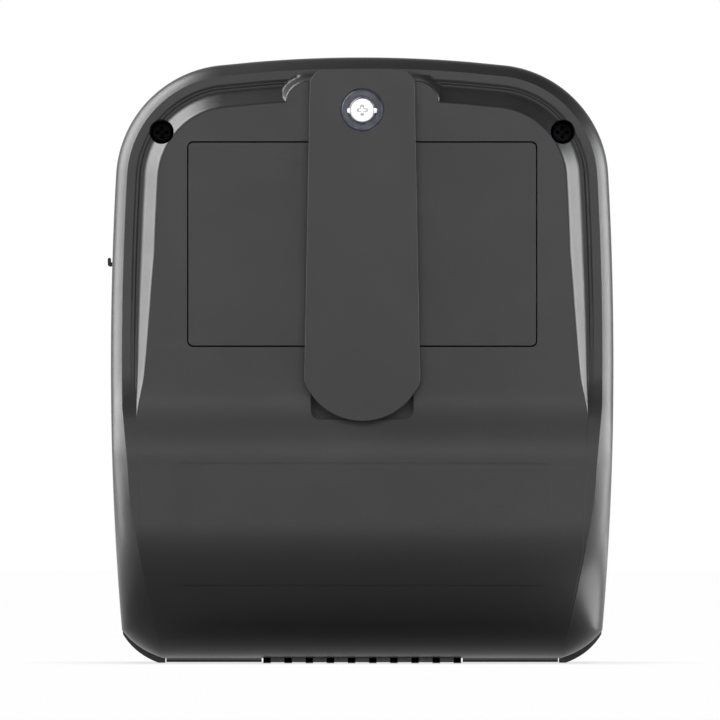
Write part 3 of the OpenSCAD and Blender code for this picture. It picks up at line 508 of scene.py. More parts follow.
def moulded_plastic(name, colour, rough=0.5, grain=0.5, pitch=0.35, specular=0.3, wear=0.0,
        mottle=0.03):
    """Textured moulding: spark-eroded grain, faint flow mottle, rubbed patches and edges."""
    place = fresh(name)
    flow = noise(place, 38, 3, 0.6, 0.4)
    tint = blended(ranged(flow, 0.3, 0.7, 0, 1), shade(colour, 1 - mottle),
        shade(colour, 1 + mottle))
    rubbed = ranged(noise(place, 90, 4, 0.65), 0.42, 0.66, 0, 1)
    if wear:
        geometry = made(place.id_data, "NewGeometry")
        edges = ranged(geometry.outputs["Pointiness"], 0.52, 0.6, 0, 1)
        tint = blended(calculate("MULTIPLY", edges, wear), tint, shade(colour, 2.2))
    pits, fine = cells(place, 1000 / pitch), noise(place, 2200 / pitch, 2, 0.6)
    finished(calculate("ADD", pits, fine), 0.02 * grain, Base_Color=tint,
        Roughness=ranged(rubbed, 0, 1, rough + 0.015, rough - 0.015),
        Specular_IOR_Level=specular)


def soft_rubber(name, colour, rough=0.62):
    place = fresh(name)
    dust = ranged(noise(place, 160, 5, 0.7), 0.5, 0.72, 0, 1)
    finished(noise(place, 2600, 3, 0.6), 0.02, 0.5,
        Base_Color=blended(dust, colour, shade(colour, 1.5)),
        Roughness=ranged(dust, 0, 1, rough, rough + 0.12), Specular_IOR_Level=0.35)


def worked_metal(name, colour, rough=0.3, lines=(1, 1, 1), depth=0.006, stain=0.12, specks=0.0):
    """Metal with tool lines along one axis, and slight stains and specks."""
    place = fresh(name)
    cut_lines, patina = noise(scaled(place, lines), 1500, 3, 0.7), noise(place, 240, 4, 0.6)
    tint = blended(ranged(patina, 0.35, 0.7, 0, 1), colour, shade(colour, 1 - stain))
    if specks:
        spots = ranged(noise(place, 900, 2, 0.5), 0.66, 0.72, 0, specks)
        tint = blended(spots, tint, shade(colour, 0.35))
    drawn = calculate("ADD", ranged(cut_lines, 0.3, 0.7, -0.06, 0.08),
        ranged(patina, 0.3, 0.7, rough - 0.04, rough + 0.07))
    finished(cut_lines, depth, Base_Color=tint, Roughness=drawn, Metallic=1.0)


def circuit_board(name, colour):
    """Solder mask over copper: tracks run as raised, paler lines on a woven core."""
    place = fresh(name)
    tracks = made(place.id_data, "TexBrick", Scale=160, Mortar_Size=0.028, Brick_Width=0.9,
        Row_Height=0.22, Vector=scaled(place, (1, 1, 1), (radians(90), 0, 0)))
    pads = ranged(cells(place, 330), 0.16, 0.2, 1, 0)
    copper = calculate("MAXIMUM", tracks.outputs["Fac"], pads)
    finished(calculate("ADD", copper, noise(place, 1800, 2)), 0.02, 0.6,
        Base_Color=blended(copper, colour, shade(colour, 2.0)),
        Roughness=ranged(noise(place, 700, 3), 0.3, 0.7, 0.28, 0.42))


def shrink_film(name, colour):
    folds = noise(scaled(fresh(name), (1, 1, 0.25)), 260, 4, 0.6, 0.8)
    tint = blended(ranged(folds, 0.35, 0.7, 0, 1), shade(colour, 0.85), shade(colour, 1.2))
    finished(folds, 0.12, 0.5, Base_Color=tint, Roughness=ranged(folds, 0.3, 0.7, 0.22, 0.4),
        Coat_Weight=0.3, Coat_Roughness=0.15)


def printing_head(name, colour):
    """Glazed ceramic with a gold connection field above its dark row of heaters."""
    place = fresh(name)
    parts = made(place.id_data, "SeparateXYZ", Vector=place).outputs
    gold = calculate("GREATER_THAN", parts["Z"], (PLATEN_Z + 3.4) * MM)
    comb = calculate("SINE", calculate("MULTIPLY", parts["X"], 5200))
    field = calculate("MULTIPLY", gold, ranged(comb, -0.3, 0.3, 0.1, 0.9))
    finished(calculate("ADD", field, noise(place, 1600, 2)), 0.01, 0.5,
        Base_Color=blended(field, colour, (0.62, 0.42, 0.13)),
        Roughness=ranged(noise(place, 900, 3), 0.3, 0.7, 0.12, 0.24), Coat_Weight=0.4)


def lamp_window(name, colour):
    haze = noise(fresh(name), 800, 3, 0.6)
    finished(haze, 0.01, 0.5, Base_Color=blended(haze, colour, shade(colour, 0.8)),
        Roughness=ranged(haze, 0.3, 0.7, 0.2, 0.34), Transmission_Weight=0.5, IOR=1.49)


moulded_plastic("case_plastic", (0.017, 0.017, 0.018), 0.37, 0.45, 0.3, 0.5, 0.10)
moulded_plastic("clip_plastic", (0.018, 0.018, 0.019), 0.39, 0.4, 0.3, 0.5, 0.03)
moulded_plastic("door_plastic", (0.017, 0.017, 0.018), 0.38, 0.45, 0.3, 0.5, 0.10)
moulded_plastic("front_plastic", (0.014, 0.014, 0.015), 0.38, 0.5, 0.34, 0.5, 0.12)
moulded_plastic("inner_plastic", (0.030, 0.030, 0.032), 0.55, 0.3, 0.5, 0.3)
moulded_plastic("key_plastic", (0.12, 0.125, 0.135), 0.42, 0.35, 0.28, 0.35, 0.1)
moulded_plastic("key_sign_plastic", (0.62, 0.62, 0.60), 0.45, 0.3, 0.3, 0.4)
soft_rubber("port_rubber", (0.020, 0.020, 0.021), 0.66)
soft_rubber("platen_silicone", (0.016, 0.016, 0.017), 0.5)
worked_metal("bright_steel", (0.72, 0.73, 0.75), 0.2, (0.12, 1, 1))
worked_metal("blued_steel", (0.105, 0.112, 0.13), 0.42, (1, 1, 1), 0.01, 0.2, 0.3)
worked_metal("screw_steel", (0.022, 0.022, 0.025), 0.45, (1, 0.2, 1), 0.008, 0.2)
worked_metal("screw_head_steel", (0.92, 0.92, 0.93), 0.36, (1, 1, 1), 0.006, 0.06)
worked_metal("spring_steel", (0.52, 0.53, 0.56), 0.26, (1, 1, 1), 0.004)
worked_metal("frame_steel", (0.50, 0.51, 0.53), 0.33, (1, 0.1, 1), 0.01, 0.16, 0.2)
worked_metal("heat_sink_metal", (0.66, 0.67, 0.69), 0.36, (0.08, 1, 1), 0.012, 0.1)
worked_metal("insert_brass", (0.66, 0.46, 0.20), 0.3, (1, 0.3, 1), 0.008, 0.15)
moulded_plastic("gear_nylon", (0.70, 0.68, 0.60), 0.36, 0.2, 0.5, 0.45, 0, 0.04)
printing_head("head_ceramic", (0.075, 0.040, 0.022))
shrink_film("battery_sleeve", (0.018, 0.034, 0.085))
circuit_board("board_green", (0.012, 0.085, 0.040))
lamp_window("light_clear", (0.62, 0.68, 0.66))


# Outline of the case and the relief on its back, in millimetres
def smooth(t):
    u = np.clip(t, 0, 1)
    return u * u * (3 - 2 * u)


def mix(a, b, t):
    return a + (b - a) * t


def corner_centre(sx, sz, sr, tz, tr, r):
    """Centre of the circle of radius r inside the side circle and the top circle."""
    d = hypot(sx, tz - sz)
    ra, rb = sr - r, tr - r
    a = (ra * ra - rb * rb + d * d) / (2 * d)
    h = sqrt(ra * ra - a * a)
    dx, dz = -sx / d, (tz - sz) / d
    return sx + a * dx - h * dz, sz + a * dz + h * dx


def outline(t, foot, foot_in, side_steps, corner_steps, top_x):
    """Right half of the outline, foot to top: x, z and the outward direction."""
    hw, top, low, start = CASE_W / 2 - t, CASE_H - t, foot + t, foot + 6.1
    sx, bow_z, tz, r = hw - SIDE_BOW_R, CASE_H / 2, top - TOP_BOW_R, CORNER_R - t
    cx, cz = corner_centre(sx, bow_z, SIDE_BOW_R, tz, TOP_BOW_R, r)
    a0 = asin((start - bow_z) / SIDE_BOW_R)
    a1, a2 = atan2(cz - bow_z, cx - sx), atan2(cz - tz, cx)
    x0 = sx + SIDE_BOW_R * cos(a0)
    knee_x, knee_z = hw - foot_in / 2, low + 1.8

    def on_circle(x, z, radius, a):
        return x + radius * cos(a), z + radius * sin(a), cos(a), sin(a)
    rows = [(mix(mix(hw - foot_in, knee_x, u), mix(knee_x, x0, u), u),
        mix(mix(low, knee_z, u), mix(knee_z, start, u), u), cos(a0 * u), sin(a0 * u))
        for u in np.linspace(0, 1, 10)[:-1]]
    rows += [on_circle(sx, bow_z, SIDE_BOW_R, a) for a in np.linspace(a0, a1, side_steps)]
    rows += [on_circle(cx, cz, r, a) for a in np.linspace(a1, a2, corner_steps)[1:]]
    rows += [(x, *on_circle(0, tz, TOP_BOW_R, acos(x / TOP_BOW_R))[1:]) for x in top_x]
    return np.array(rows)


def back_profile(z):
    """Distance of the back from the plane of the bulge, at height z."""
    s = np.clip((ROLL_Z - z) / (ROLL_Z - REAR_FOOT), 0, 1)
    low = BULGE_CORNER * (1 - np.sqrt(1 - s * s))
    high = BULGE_RISE * smooth((z - BULGE_LOW) / (BULGE_TOP - BULGE_LOW))
    return np.where(z > BULGE_LOW, high, np.where(z > ROLL_Z, 0, low))


def ledge_share(z):
    """Share of the ledge's full depth, which runs out softly below the plateau's point."""
    above, below, power = 6.7, 3.3, 0.45
    join_z, start = LEDGE_END + above, LEDGE_END - below
    t = np.clip((z - start) / (join_z - start), 0, 1)
    at = (above / LEDGE_TAPER) ** power
    rise = power * at / above * (join_z - start)
    low = at * t * t * (3 - 2 * t) + rise * (t ** 3 - t * t)
    return np.where(z < join_z, low, np.clip((z - LEDGE_END) / LEDGE_TAPER, 0.01, 1) ** power)


def rim_width(x, z):
    """Width of the rim, which turns into the cheek beside the bulge lower down."""
    s = (z - REAR_FOOT) / (CHEEK_TOP - REAR_FOOT)
    crease = CASE_W / 2 - REAR_FOOT_IN + CREASE_RUN * s * (1.25 - 0.25 * s)
    middle = mix(3.6, RIM_W, np.minimum(1, (z - CHEEK_TOP) / (LEDGE_END - CHEEK_TOP)))
    return mix(np.maximum(0, x - crease), middle, smooth((z - CHEEK_TOP + 6) / 12))


RIM_STEPS, FILLET_STEPS = np.linspace(0, 1, 13), np.linspace(0, 1, 8)
SLOPE_STEPS, ROUND_STEPS = np.linspace(0, 1, 11)[1:], np.linspace(0, 1, 8)[1:]
PLAIN_TOP_X = (20, 16, 12, 8, 4, 1)
# Share of the ledge's width, and depth of the fine grooves beside its bead
LEDGE_STEPS = ((0.12, 0), (0.35, 0), (0.56, 0), (0.62, 0), (0.66, 0.05), (0.70, 0.09),
    (0.745, 0.06), (0.775, 0.0), (0.81, -0.03), (0.85, -0.03), (0.885, 0.0), (0.915, 0.06),
    (0.95, 0.11), (0.985, 0.09))


def rear_levels(p, plain=False):
    """For every outline point, the distance in and the depth of each line of the relief."""
    x, z = p[:, 0], p[:, 1]
    w = rim_width(x, z)
    share = ledge_share(z)
    drop = LEDGE_DROP * share
    h = mix(CHEEK_H, RIM_H, smooth((z - 15) / 35))
    bend = np.minimum(0.8 * h, w * mix(tan(radians(13)), tan(radians(35)),
        smooth((z - 20) / 30)))
    floor_in = np.maximum(LEDGE_IN, w + 0.4)
    edge = np.maximum(mix(LEDGE_IN + 0.1, PLATEAU_IN, share), floor_in + 0.1)
    foot = np.minimum(floor_in, edge - 0.1)
    run = edge - foot
    r = np.minimum(0.9, 0.25 * run)
    f = 0.38 * run
    pitch = drop / np.maximum(0.1, run - (r + f) / 2)
    levels = [(w * u * u, drop + (1 - u) ** 2 * h + 2 * u * (1 - u) * bend) for u in RIM_STEPS]
    if plain:
        return levels + [(foot, drop), (edge, 0 * edge)]
    for across, groove in LEDGE_STEPS:
        levels.append((mix(w, foot, across), drop + groove * share))
    for u in FILLET_STEPS:
        levels.append((foot + f * u, drop - pitch * f * u * u / 2))
    for u in SLOPE_STEPS:
        levels.append((mix(foot + f, edge - r, u), drop - pitch * (f / 2 + u * (run - r - f))))
    for u in ROUND_STEPS:
        levels.append((edge - r * (1 - u), pitch * r * (1 - u) ** 2 / 2))
    return levels


def with_pad(x, inset, depth):
    """Raises the clip's pad out of the slope, with a small fillet round its foot."""
    qx = np.abs(x) - (PAD_W / 2 - PAD_R)
    qs = PAD_IN + PAD_R - inset
    away = (np.hypot(np.maximum(qx, 0), np.maximum(qs, 0)) + np.minimum(np.maximum(qx, qs), 0)
        - PAD_R)
    wall = 3.6 * smooth((away + 0.3) / 1.9) + 9 * np.maximum(0, away - 1.6)
    fillet = 0.9 * np.clip(depth, 0, 1) * np.clip(wall, 0, 1) + 1e-6
    h = np.clip(0.5 + 0.5 * (wall - depth) / fillet, 0, 1)
    return mix(wall, depth, h) - fillet * h * (1 - h)


def ring_at(p, inset, y):
    """Outline moved in by a distance and set at a depth."""
    x, z, nx, nz = p.T
    return np.stack(np.broadcast_arrays(x - inset * nx, y, z - inset * nz), 1)


def parting_rings(p, t, into):
    """First rings of a half: its soft lip, or for a hollow one ring inside the other half."""
    if t > 0:
        return [ring_at(p, 0, Y_PART - into)]
    return [ring_at(p, inset, Y_PART + into * y) for inset, y in PARTING_LIP]


def rear_rings(t, plain=False):
    """Half rings of points of the rear case, from the parting line to the plateau."""
    fine_top_x = np.concatenate([np.arange(23.5, 18.6, -0.6)[1:], np.arange(18.5, 11.4, -0.12),
        np.arange(11, 0.3, -0.9)])
    steps = (60, 20, PLAIN_TOP_X) if plain else (150, 70, fine_top_x)
    p = outline(t, REAR_FOOT, REAR_FOOT_IN, *steps)
    x, z, nx = p[:, 0], p[:, 1], p[:, 2]
    base = Y_BACK + back_profile(np.where(z < ROLL_Z, z - t, z)) + t
    rings, levels = parting_rings(p, t, -1), rear_levels(p, plain)
    for k, (inset, depth) in enumerate(levels):
        if t == 0:
            depth = np.where(z > CASE_H - 16, with_pad(x - inset * nx, inset, depth), depth)
        depth = depth + 0.04 * (1 - k / (len(levels) - 1))
        rings.append(ring_at(p, inset, base + depth))
    return rings


# Height of the front's face, and half rings of the front case
def front_profile(z):
    bottom = FOOT_R - np.sqrt(np.maximum(0, FOOT_R ** 2 - (FOOT_R - np.clip(z, 0, FOOT_R)) ** 2))
    tilt = np.maximum(0, z - EXIT_TOP) * tan(radians(PANEL_TILT))
    return np.where(z < FOOT_R, bottom, tilt)


def panel_face(z):
    return float(Y_FRONT - front_profile(np.array(z)))


def front_rings(t, steps):
    side_steps, corner_steps = (90, 50) if t == 0 else (40, 16)
    p = outline(t, 0, FRONT_FOOT_IN, side_steps, corner_steps, PLAIN_TOP_X)
    z = p[:, 1]
    face = Y_FRONT - front_profile(np.where(z < FOOT_R, z - t, z)) - t
    edge = mix(0, FRONT_EDGE, smooth(z / 12))
    return parting_rings(p, t, 1) + [ring_at(p, edge * (1 - cos(a)) + 0.02 * a,
        face - FRONT_ROUND * (1 - sin(a))) for a in np.linspace(0, pi / 2, steps)]


# Geometry Nodes: rows of lands, ribs, teeth and slots, and wires along a path
def new_tree(name, kinds, **inputs):
    """Tree with named inputs; returns it and its nodes, the group's two first."""
    tree = bpy.data.node_groups.new(name, "GeometryNodeTree")
    tree.interface.new_socket("Geometry", in_out="OUTPUT", socket_type="NodeSocketGeometry")
    for label, kind in inputs.items():
        tree.interface.new_socket(label, in_out="INPUT", socket_type="NodeSocket" + kind)
    return tree, [tree.nodes.new(kind) for kind in ("NodeGroupInput", "NodeGroupOutput") + kinds]


def wire_up(tree, given, out, last, *wires):
    """Joins the sockets, then realizes the last node's copies and sets the material."""
    real, finish = [tree.nodes.new("GeometryNode" + kind)
        for kind in ("RealizeInstances", "SetMaterial")]
    for source, output, target, into in wires + ((last, 0, real, 0),
            (real, 0, finish, "Geometry"), (given, "Finish", finish, "Material"),
            (finish, 0, out, 0)):
        tree.links.new(source.outputs[output], target.inputs[into])
    return tree


def row_tree():
    """Copies of a part, set out at an even pitch along x."""
    tree, (given, out, line, at, step, source, copies) = new_tree("row_of_parts",
        ("GeometryNodeMeshLine", "ShaderNodeCombineXYZ", "ShaderNodeCombineXYZ",
        "GeometryNodeObjectInfo", "GeometryNodeInstanceOnPoints"),
        Section="Object", Count="Int", First="Float", Pitch="Float", Finish="Material")
    return wire_up(tree, given, out, copies, (given, "Section", source, "Object"),
        (given, "Count", line, "Count"), (given, "First", at, 0), (given, "Pitch", step, 0),
        (at, 0, line, "Start Location"), (step, 0, line, "Offset"), (line, 0, copies, "Points"),
        (source, "Geometry", copies, "Instance"))


def wire_tree():
    """Round wire, closed at both ends, along the path given as an edge mesh."""
    tree, (given, out, source, curve, half, ring, tube) = new_tree("wire_along_path",
        ("GeometryNodeObjectInfo", "GeometryNodeMeshToCurve", "ShaderNodeMath",
        "GeometryNodeCurvePrimitiveCircle", "GeometryNodeCurveToMesh"),
        Path="Object", Wire="Float", Sides="Int", Finish="Material")
    half.operation = "MULTIPLY"
    half.inputs[1].default_value = 0.5
    tube.inputs["Fill Caps"].default_value = True
    return wire_up(tree, given, out, tube, (given, "Path", source, "Object"),
        (source, "Geometry", curve, 0), (given, "Wire", half, 0), (half, 0, ring, "Radius"),
        (given, "Sides", ring, "Resolution"), (curve, 0, tube, "Curve"),
        (ring, 0, tube, "Profile Curve"))


def grown(name, tree, source, **values):
    """Evaluates a tree with the values given by input name, and keeps its plain mesh."""
    host = new_object(name, [(0, 0, 0)], [])
    step = host.modifiers.new("tree", "NODES")
    step.node_group = tree
    sockets = {s.name: s.identifier for s in tree.interface.items_tree if s.in_out == "INPUT"}
    for label, value in values.items():
        step[sockets[label]] = value
    frozen(host)
    bpy.data.objects.remove(source)
    return turn_outwards(host)


def row_of(name, part, count, first, pitch, finish):
    return grown(name, ROW_TREE, part, Section=part, Count=count, First=first * MM,
        Pitch=pitch * MM, Finish=FINISH[finish])


def wire_along(name, path, d):
    source = new_object("path", path, [], [(i, i + 1) for i in range(len(path) - 1)])
    return grown(name, WIRE_TREE, source, Path=source, Wire=d * MM, Sides=12,
        Finish=FINISH["spring_steel"])


ROW_TREE, WIRE_TREE = row_tree(), wire_tree()


# Rear case: the relief of the back, with the same wells, pockets and bores
def door_outline(wider):
    """Door's outline with the notch under the clip's hinge, as x and z points."""
    w, h, r = DOOR_W + 2 * wider, DOOR_H + 2 * wider, 1.1 + wider * 0.7
    base = rounded(w, h, r, 8)
    nw, nh = NOTCH_W / 2 - wider, NOTCH_H - wider
    top, corners, soft = h / 2, len(base) // 4, 0.4
    points = list(base[:corners])
    for cx, cz, a0, a1 in ((nw + soft, top - soft, 90, 180), (nw - soft, top - nh + soft, 0, -90),
            (-nw + soft, top - nh + soft, -90, -180), (-nw - soft, top - soft, 0, 90)):
        points += arc_points(cx, cz, soft, a0, a1, 6)
    return np.array(points + list(base[corners:]))


def door_prism(wider, y0, y1):
    return along_y(door_outline(wider), y0, y1, (0, DOOR_Z))


def across(side, a, b):
    """Span between two distances from the middle, on one side."""
    return sorted((side * a, side * b))


def make_rear_case():
    case = closed_skin("rear_case_skin", rear_rings(0))
    hollow = closed_skin("hollow", rear_rings(WALL, True))
    box_x, box_z = DOOR_W / 2 + DOOR_GAP + 1.2, DOOR_H / 2 + DOOR_GAP + 1.2
    fills = [block(-box_x, box_x, Y_BACK - 1, FLOOR_Y + 1.4, DOOR_Z - box_z, DOOR_Z + box_z),
        block(-TIP_W / 2 - 0.4, TIP_W / 2 + 0.4, Y_BACK - 1, Y_PLATEAU + 8.4, ARM_TIP - 1.2,
            ARM_TIP + 15),
        rod_y(Y_BACK - 1, Y_BACK + 9, 9, 0, CLIP_SCREW_Z)]
    for side in SIDES:
        fills.append(rod_y(Y_BACK - 1, Y_PART - 0.5, BOSS_D, side * WELL_X, WELL_Z))
        for x, z, foot in zip(BOARD_X, BOARD_Z, (FLOOR_Y, Y_BACK - 1)):
            fills.append(rod_y(foot, BOARD_Y, POST_D, side * x, z))
    cut(hollow, *fills)
    cut(case, hollow)
    low = REAR_FOOT
    join(case, block(-LID_FOOT_W / 2 + 0.2, LID_FOOT_W / 2 - 0.2, Y_PART - 1,
        HINGE_Y - BARREL_D / 2 - 0.8, low + 0.001, low + WALL))
    join(case, block(-MID_BARREL / 2, MID_BARREL / 2, YC - 8.5, HINGE_Y, LAND_H, low + WALL))
    join(case, hinge_rod(-MID_BARREL / 2, MID_BARREL / 2, BARREL_D))
    y_out = Y_PLATEAU - 1
    well = along_y(rounded(DOOR_W - 2.4, DOOR_H - 2.4, 0.8), POCKET_Y - 0.01, FLOOR_Y, (0, DOOR_Z))
    tip = along_y(rounded(22.1, 12.1, 2), y_out - 1, y_out + 7.6, (0, ARM_TIP + 6.3))
    trench = loft("trench", [shape_at(door_outline(wider) + (0, DOOR_Z), y)
        for wider, y in ((DOOR_GAP, POCKET_Y - 0.01), (-0.2, POCKET_Y + 0.7))])
    cut(trench, door_prism(-0.21, POCKET_Y - 1, POCKET_Y + 2))
    cut(case, door_prism(DOOR_GAP, y_out, POCKET_Y), trench, well, tip)
    bores = [rod_y(Y_PLATEAU - 1, Y_PLATEAU + 6.5, 4, 0, CLIP_SCREW_Z),
        hinge_rod(-60, 60, PIN_BORE, 64),
        block(-60, -CASE_W / 2 + WALL + 2, YC - 7.6, YC + 0.6, PORT_LOW, PORT_HIGH)]
    for side in SIDES:
        bores += [rod_y(Y_BACK - 2, WELL_FLOOR, WELL_D, side * WELL_X, WELL_Z, 64),
            rod_y(Y_BACK - 1, 20, SCREW_HOLE_D, side * WELL_X, WELL_Z)]
        for x, z in zip(BOARD_X, BOARD_Z):
            bores.append(rod_y(BOARD_Y - 3.2, BOARD_Y + 0.8, PILOT_D, side * x, z, 24))
        bores.append(block(side * CONTACT_X - 1.4, side * CONTACT_X + 1.4, FLOOR_Y - 1,
            FLOOR_Y + 2.4, DOOR_Z - 3.2, DOOR_Z + 3.2))
    cut(case, *bores)
    for tool in label_field():
        cut(case, tool)
    show(case, "rear_case_shell", "root", "case_plastic", "rear_case", angle=26)


def follow_bulge(ring, depth):
    """Tool that cuts a ring's outline into the bulge to an even depth."""
    low, high = 16.0, 44.0
    zs = np.linspace(low, high, 57)
    surface = Y_BACK + back_profile(zs) + depth
    section = [(y, z) for y, z in zip(surface, zs)] + [(Y_BACK - 2, high), (Y_BACK - 2, low)]
    return combine(ring, "INTERSECT", [along_x(section, -42, 42)])


def label_field():
    """Shallow field for a label on the bulge, bare, with a fine groove round it."""
    low, high = 17.0, 43.0
    middle, y0, y1 = (0, (low + high) / 2), Y_BACK - 1.5, Y_BACK + 12
    field = along_y(rounded(80.4, high - low, 2, 12), y0, y1, middle)
    groove = along_y(rounded(80.9, high - low + 0.5, 2.25, 12), y0, y1, middle)
    cut(groove, along_y(rounded(80.3, high - low - 0.1, 1.95, 12), y0 - 1, y1 + 1, middle))
    combine(groove, "INTERSECT", [block(-39.4, 39.4, y0 - 1, y1 + 1, low - 2, high + 2)])
    return follow_bulge(field, 0.06), follow_bulge(groove, 0.28)


# Back: lands under the barrel, battery door, screws and clip
def make_lands():
    land = block(0, LAND_W, YC - 8.5, HINGE_Y, 0, REAR_FOOT + 1)
    join(land, hinge_rod(0.002, LAND_W - 0.002, BARREL_D + 2 * LAND_H))
    cut(land, hinge_rod(-1, LAND_W + 1, PIN_BORE, 32))
    pitch = (MID_BARREL - LAND_W) / (LAND_COUNT - 1)
    row = row_of("hinge_lands", land, LAND_COUNT, -MID_BARREL / 2, pitch, "case_plastic")
    show(row, "hinge_lands", "root", "case_plastic")


def make_battery_door():
    inner_y = Y_PLATEAU + DOOR_T
    door = softened(door_outline(0), Y_PLATEAU, inner_y, 0.07, (0, DOOR_Z))
    for x in (-24, 24):
        cut(door, block(x - 9, x + 9, inner_y - 0.3, inner_y - 0.01, DOOR_Z - 15, DOOR_Z + 15))
    show(door, "battery_door_cover", "door", "case_plastic", "battery_door", finish="door_plastic")


def arm_outline():
    """Clip arm seen from behind: round tip, straight sides, slightly bowed top."""
    hw, tw, tip_r, bow_r = ARM_W / 2, TIP_W / 2, 13.3, 120
    a = degrees(acos(tw / tip_r))
    top_c, ta = ARM_TOP - bow_r, degrees(acos((hw - 3) / bow_r))
    half = arc_points(0, ARM_TIP + tip_r, tip_r, -90, -a, 30)
    half += arc_points(hw - 3, top_c + bow_r * sin(radians(ta)) - 3, 3, 0, ta, 14)
    half = np.array(half + arc_points(0, top_c, bow_r, ta, 90, 12))
    return np.concatenate([half, (half * [-1, 1])[::-1][1:-1]])


def make_clip_arm():
    inside = Y_PLATEAU - ARM_GAP
    arm = softened(arm_outline(), inside - ARM_T, inside, 0.06, steps=4)
    for side in SIDES:
        x0 = side * 5.6 - 1
        lug = rod_x(x0, x0 + 2, 2.8, CLIP_PIN_Y, CLIP_PIN_Z, 40)
        stem = block(x0 + 0.002, x0 + 1.998, inside - 0.5, CLIP_PIN_Y, CLIP_PIN_Z - 1.4,
            CLIP_PIN_Z + 1.4)
        join(arm, join(lug, stem))
    join(arm, softened(rounded(18, 3, 0.6), inside - 1, Y_PLATEAU + 2, 0.01, (0, ARM_TIP + 4.9)))
    hole = rod_y(inside - ARM_T - 1, inside + 1, ARM_HOLE_D, 0, CLIP_SCREW_Z, 96)
    relief = block(-4.4, 4.4, inside - 0.5, inside + 1, CLIP_PIN_Z - 2.2, CLIP_PIN_Z + 2.2)
    cut(arm, hole, rod_x(-12, 12, CLIP_PIN_D + 2 * FIT, CLIP_PIN_Y, CLIP_PIN_Z, 32), relief)
    show(arm, "clip_arm_moulding", "clip", "case_plastic", "clip_arm", finish="clip_plastic",
        angle=24)


def make_clip_bush():
    y = Y_PLATEAU - 2
    bush = turned_ring([(y + 0.04, 3.12), (y, 3.16), (y, 4.28), (y + 0.06, 4.34), (y + 1, 4.34),
        (y + 1, 1.6), (y + 0.7, 1.6), (y + 0.7, 3.12)], (0, 0, CLIP_SCREW_Z), "y")
    show(bush, "clip_bush_ring", "root", "blued_steel", "clip_bush")


def cross_bit(y, x, z, w, depth):
    """Tapered cross that cuts a screwdriver recess into a head."""
    wings = []
    for a in (0, radians(90)):
        rings = []
        for along, half, thick in ((-0.3, w / 2, 0.4), (0, w / 2, 0.36), (depth, w / 4, 0.2)):
            ring = [(sx * half, sz * thick) for sx, sz in ((-1, -1), (1, -1), (1, 1), (-1, 1))]
            rings.append(np.array([(x + u * cos(a) - v * sin(a), y + along,
                z + u * sin(a) + v * cos(a)) for u, v in ring]))
        wings.append(loft("wing", rings))
    return wings


def threaded(y0, y1, d, x, z, pitch=0.5):
    """Shank along y with a ring for every turn of its thread."""
    profile, y = [(y0, d / 2)], y0 + 0.4
    while y < y1 - 0.8:
        profile += [(y, d / 2 - 0.16), (y + pitch / 2, d / 2)]
        y += pitch
    profile += [(y1 - 0.3, d / 2 - 0.16), (y1, d / 2 - 0.5)]
    return turned(profile, (x, 0, z), "y", 32)


def make_clip_screw():
    top = Y_PLATEAU - 2.9
    head = turned([(top, 2.3), (top + 0.05, 2.56), (top + 0.17, 2.74), (top + 0.36, 2.8),
        (top + 1.5, 2.8)], (0, 0, CLIP_SCREW_Z), "y", 72)
    ears = softened(rounded(6.4, 1.1, 0.3), top + 0.06, top + 0.7, 0.05, (0, CLIP_SCREW_Z - 0.1))
    join(head, ears, threaded(top + 1.5, top + 8.5, 2.9, 0, CLIP_SCREW_Z))
    cut(head, *cross_bit(top, 0, CLIP_SCREW_Z, 2.4, 0.6))
    show(head, "clip_screw_bright", "root", "bright_steel", "clip_screw",
        finish="screw_head_steel", angle=24)


def make_case_screws():
    y, both = WELL_FLOOR, []
    for side in SIDES:
        x = side * WELL_X
        head = turned([(y - 2, 1.5), (y - 1.9, 2.0), (y - 1.5, 2.38), (y - 1.1, 2.45), (y, 2.45)],
            (x, 0, WELL_Z), "y", 48)
        join(head, threaded(y - 0.01, y + 16, 2.4, x, WELL_Z, 0.6))
        both.append(cut(head, *cross_bit(y - 2, x, WELL_Z, 2.7, 1.0)))
    show(merged(*both), "case_screws_dark", "root", "screw_steel", "case_screws", angle=24)


def make_clip_base():
    plate = softened(rounded(16, CLIP_SCREW_Z + 4.2 - CLIP_PIN_Z, 0.8), Y_PLATEAU - 1,
        Y_PLATEAU, 0.15, (0, (CLIP_PIN_Z + 1.4 + CLIP_SCREW_Z + 5.6) / 2))
    y, z = CLIP_PIN_Y + (Y_PLATEAU - CLIP_PIN_Y), CLIP_PIN_Z
    ear = arc_points(CLIP_PIN_Y, z, 1.2, 180, 360, 20)
    ear += [(y, z), (y, z + 3.6), (y - 1, z + 3.6), (CLIP_PIN_Y - 1.1, z + 0.9)]
    for x in (-7.5, 7.5):
        join(plate, along_x(ear, x - 0.499, x + 0.499))
    cut(plate, rod_y(Y_PLATEAU - 2, Y_PLATEAU + 1, 3.2, 0, CLIP_SCREW_Z),
        rod_x(-9, 9, CLIP_PIN_D + 0.02, CLIP_PIN_Y, CLIP_PIN_Z, 40))
    show(plate, "clip_base_plate", "root", "blued_steel", "clip_base")


def make_clip_pin():
    pin = chamfered(-8.3, 8.3, CLIP_PIN_D, CLIP_PIN_Y, CLIP_PIN_Z, 0.2, 40)
    show(pin, "clip_hinge_pin", "root", "bright_steel", "clip_pin")


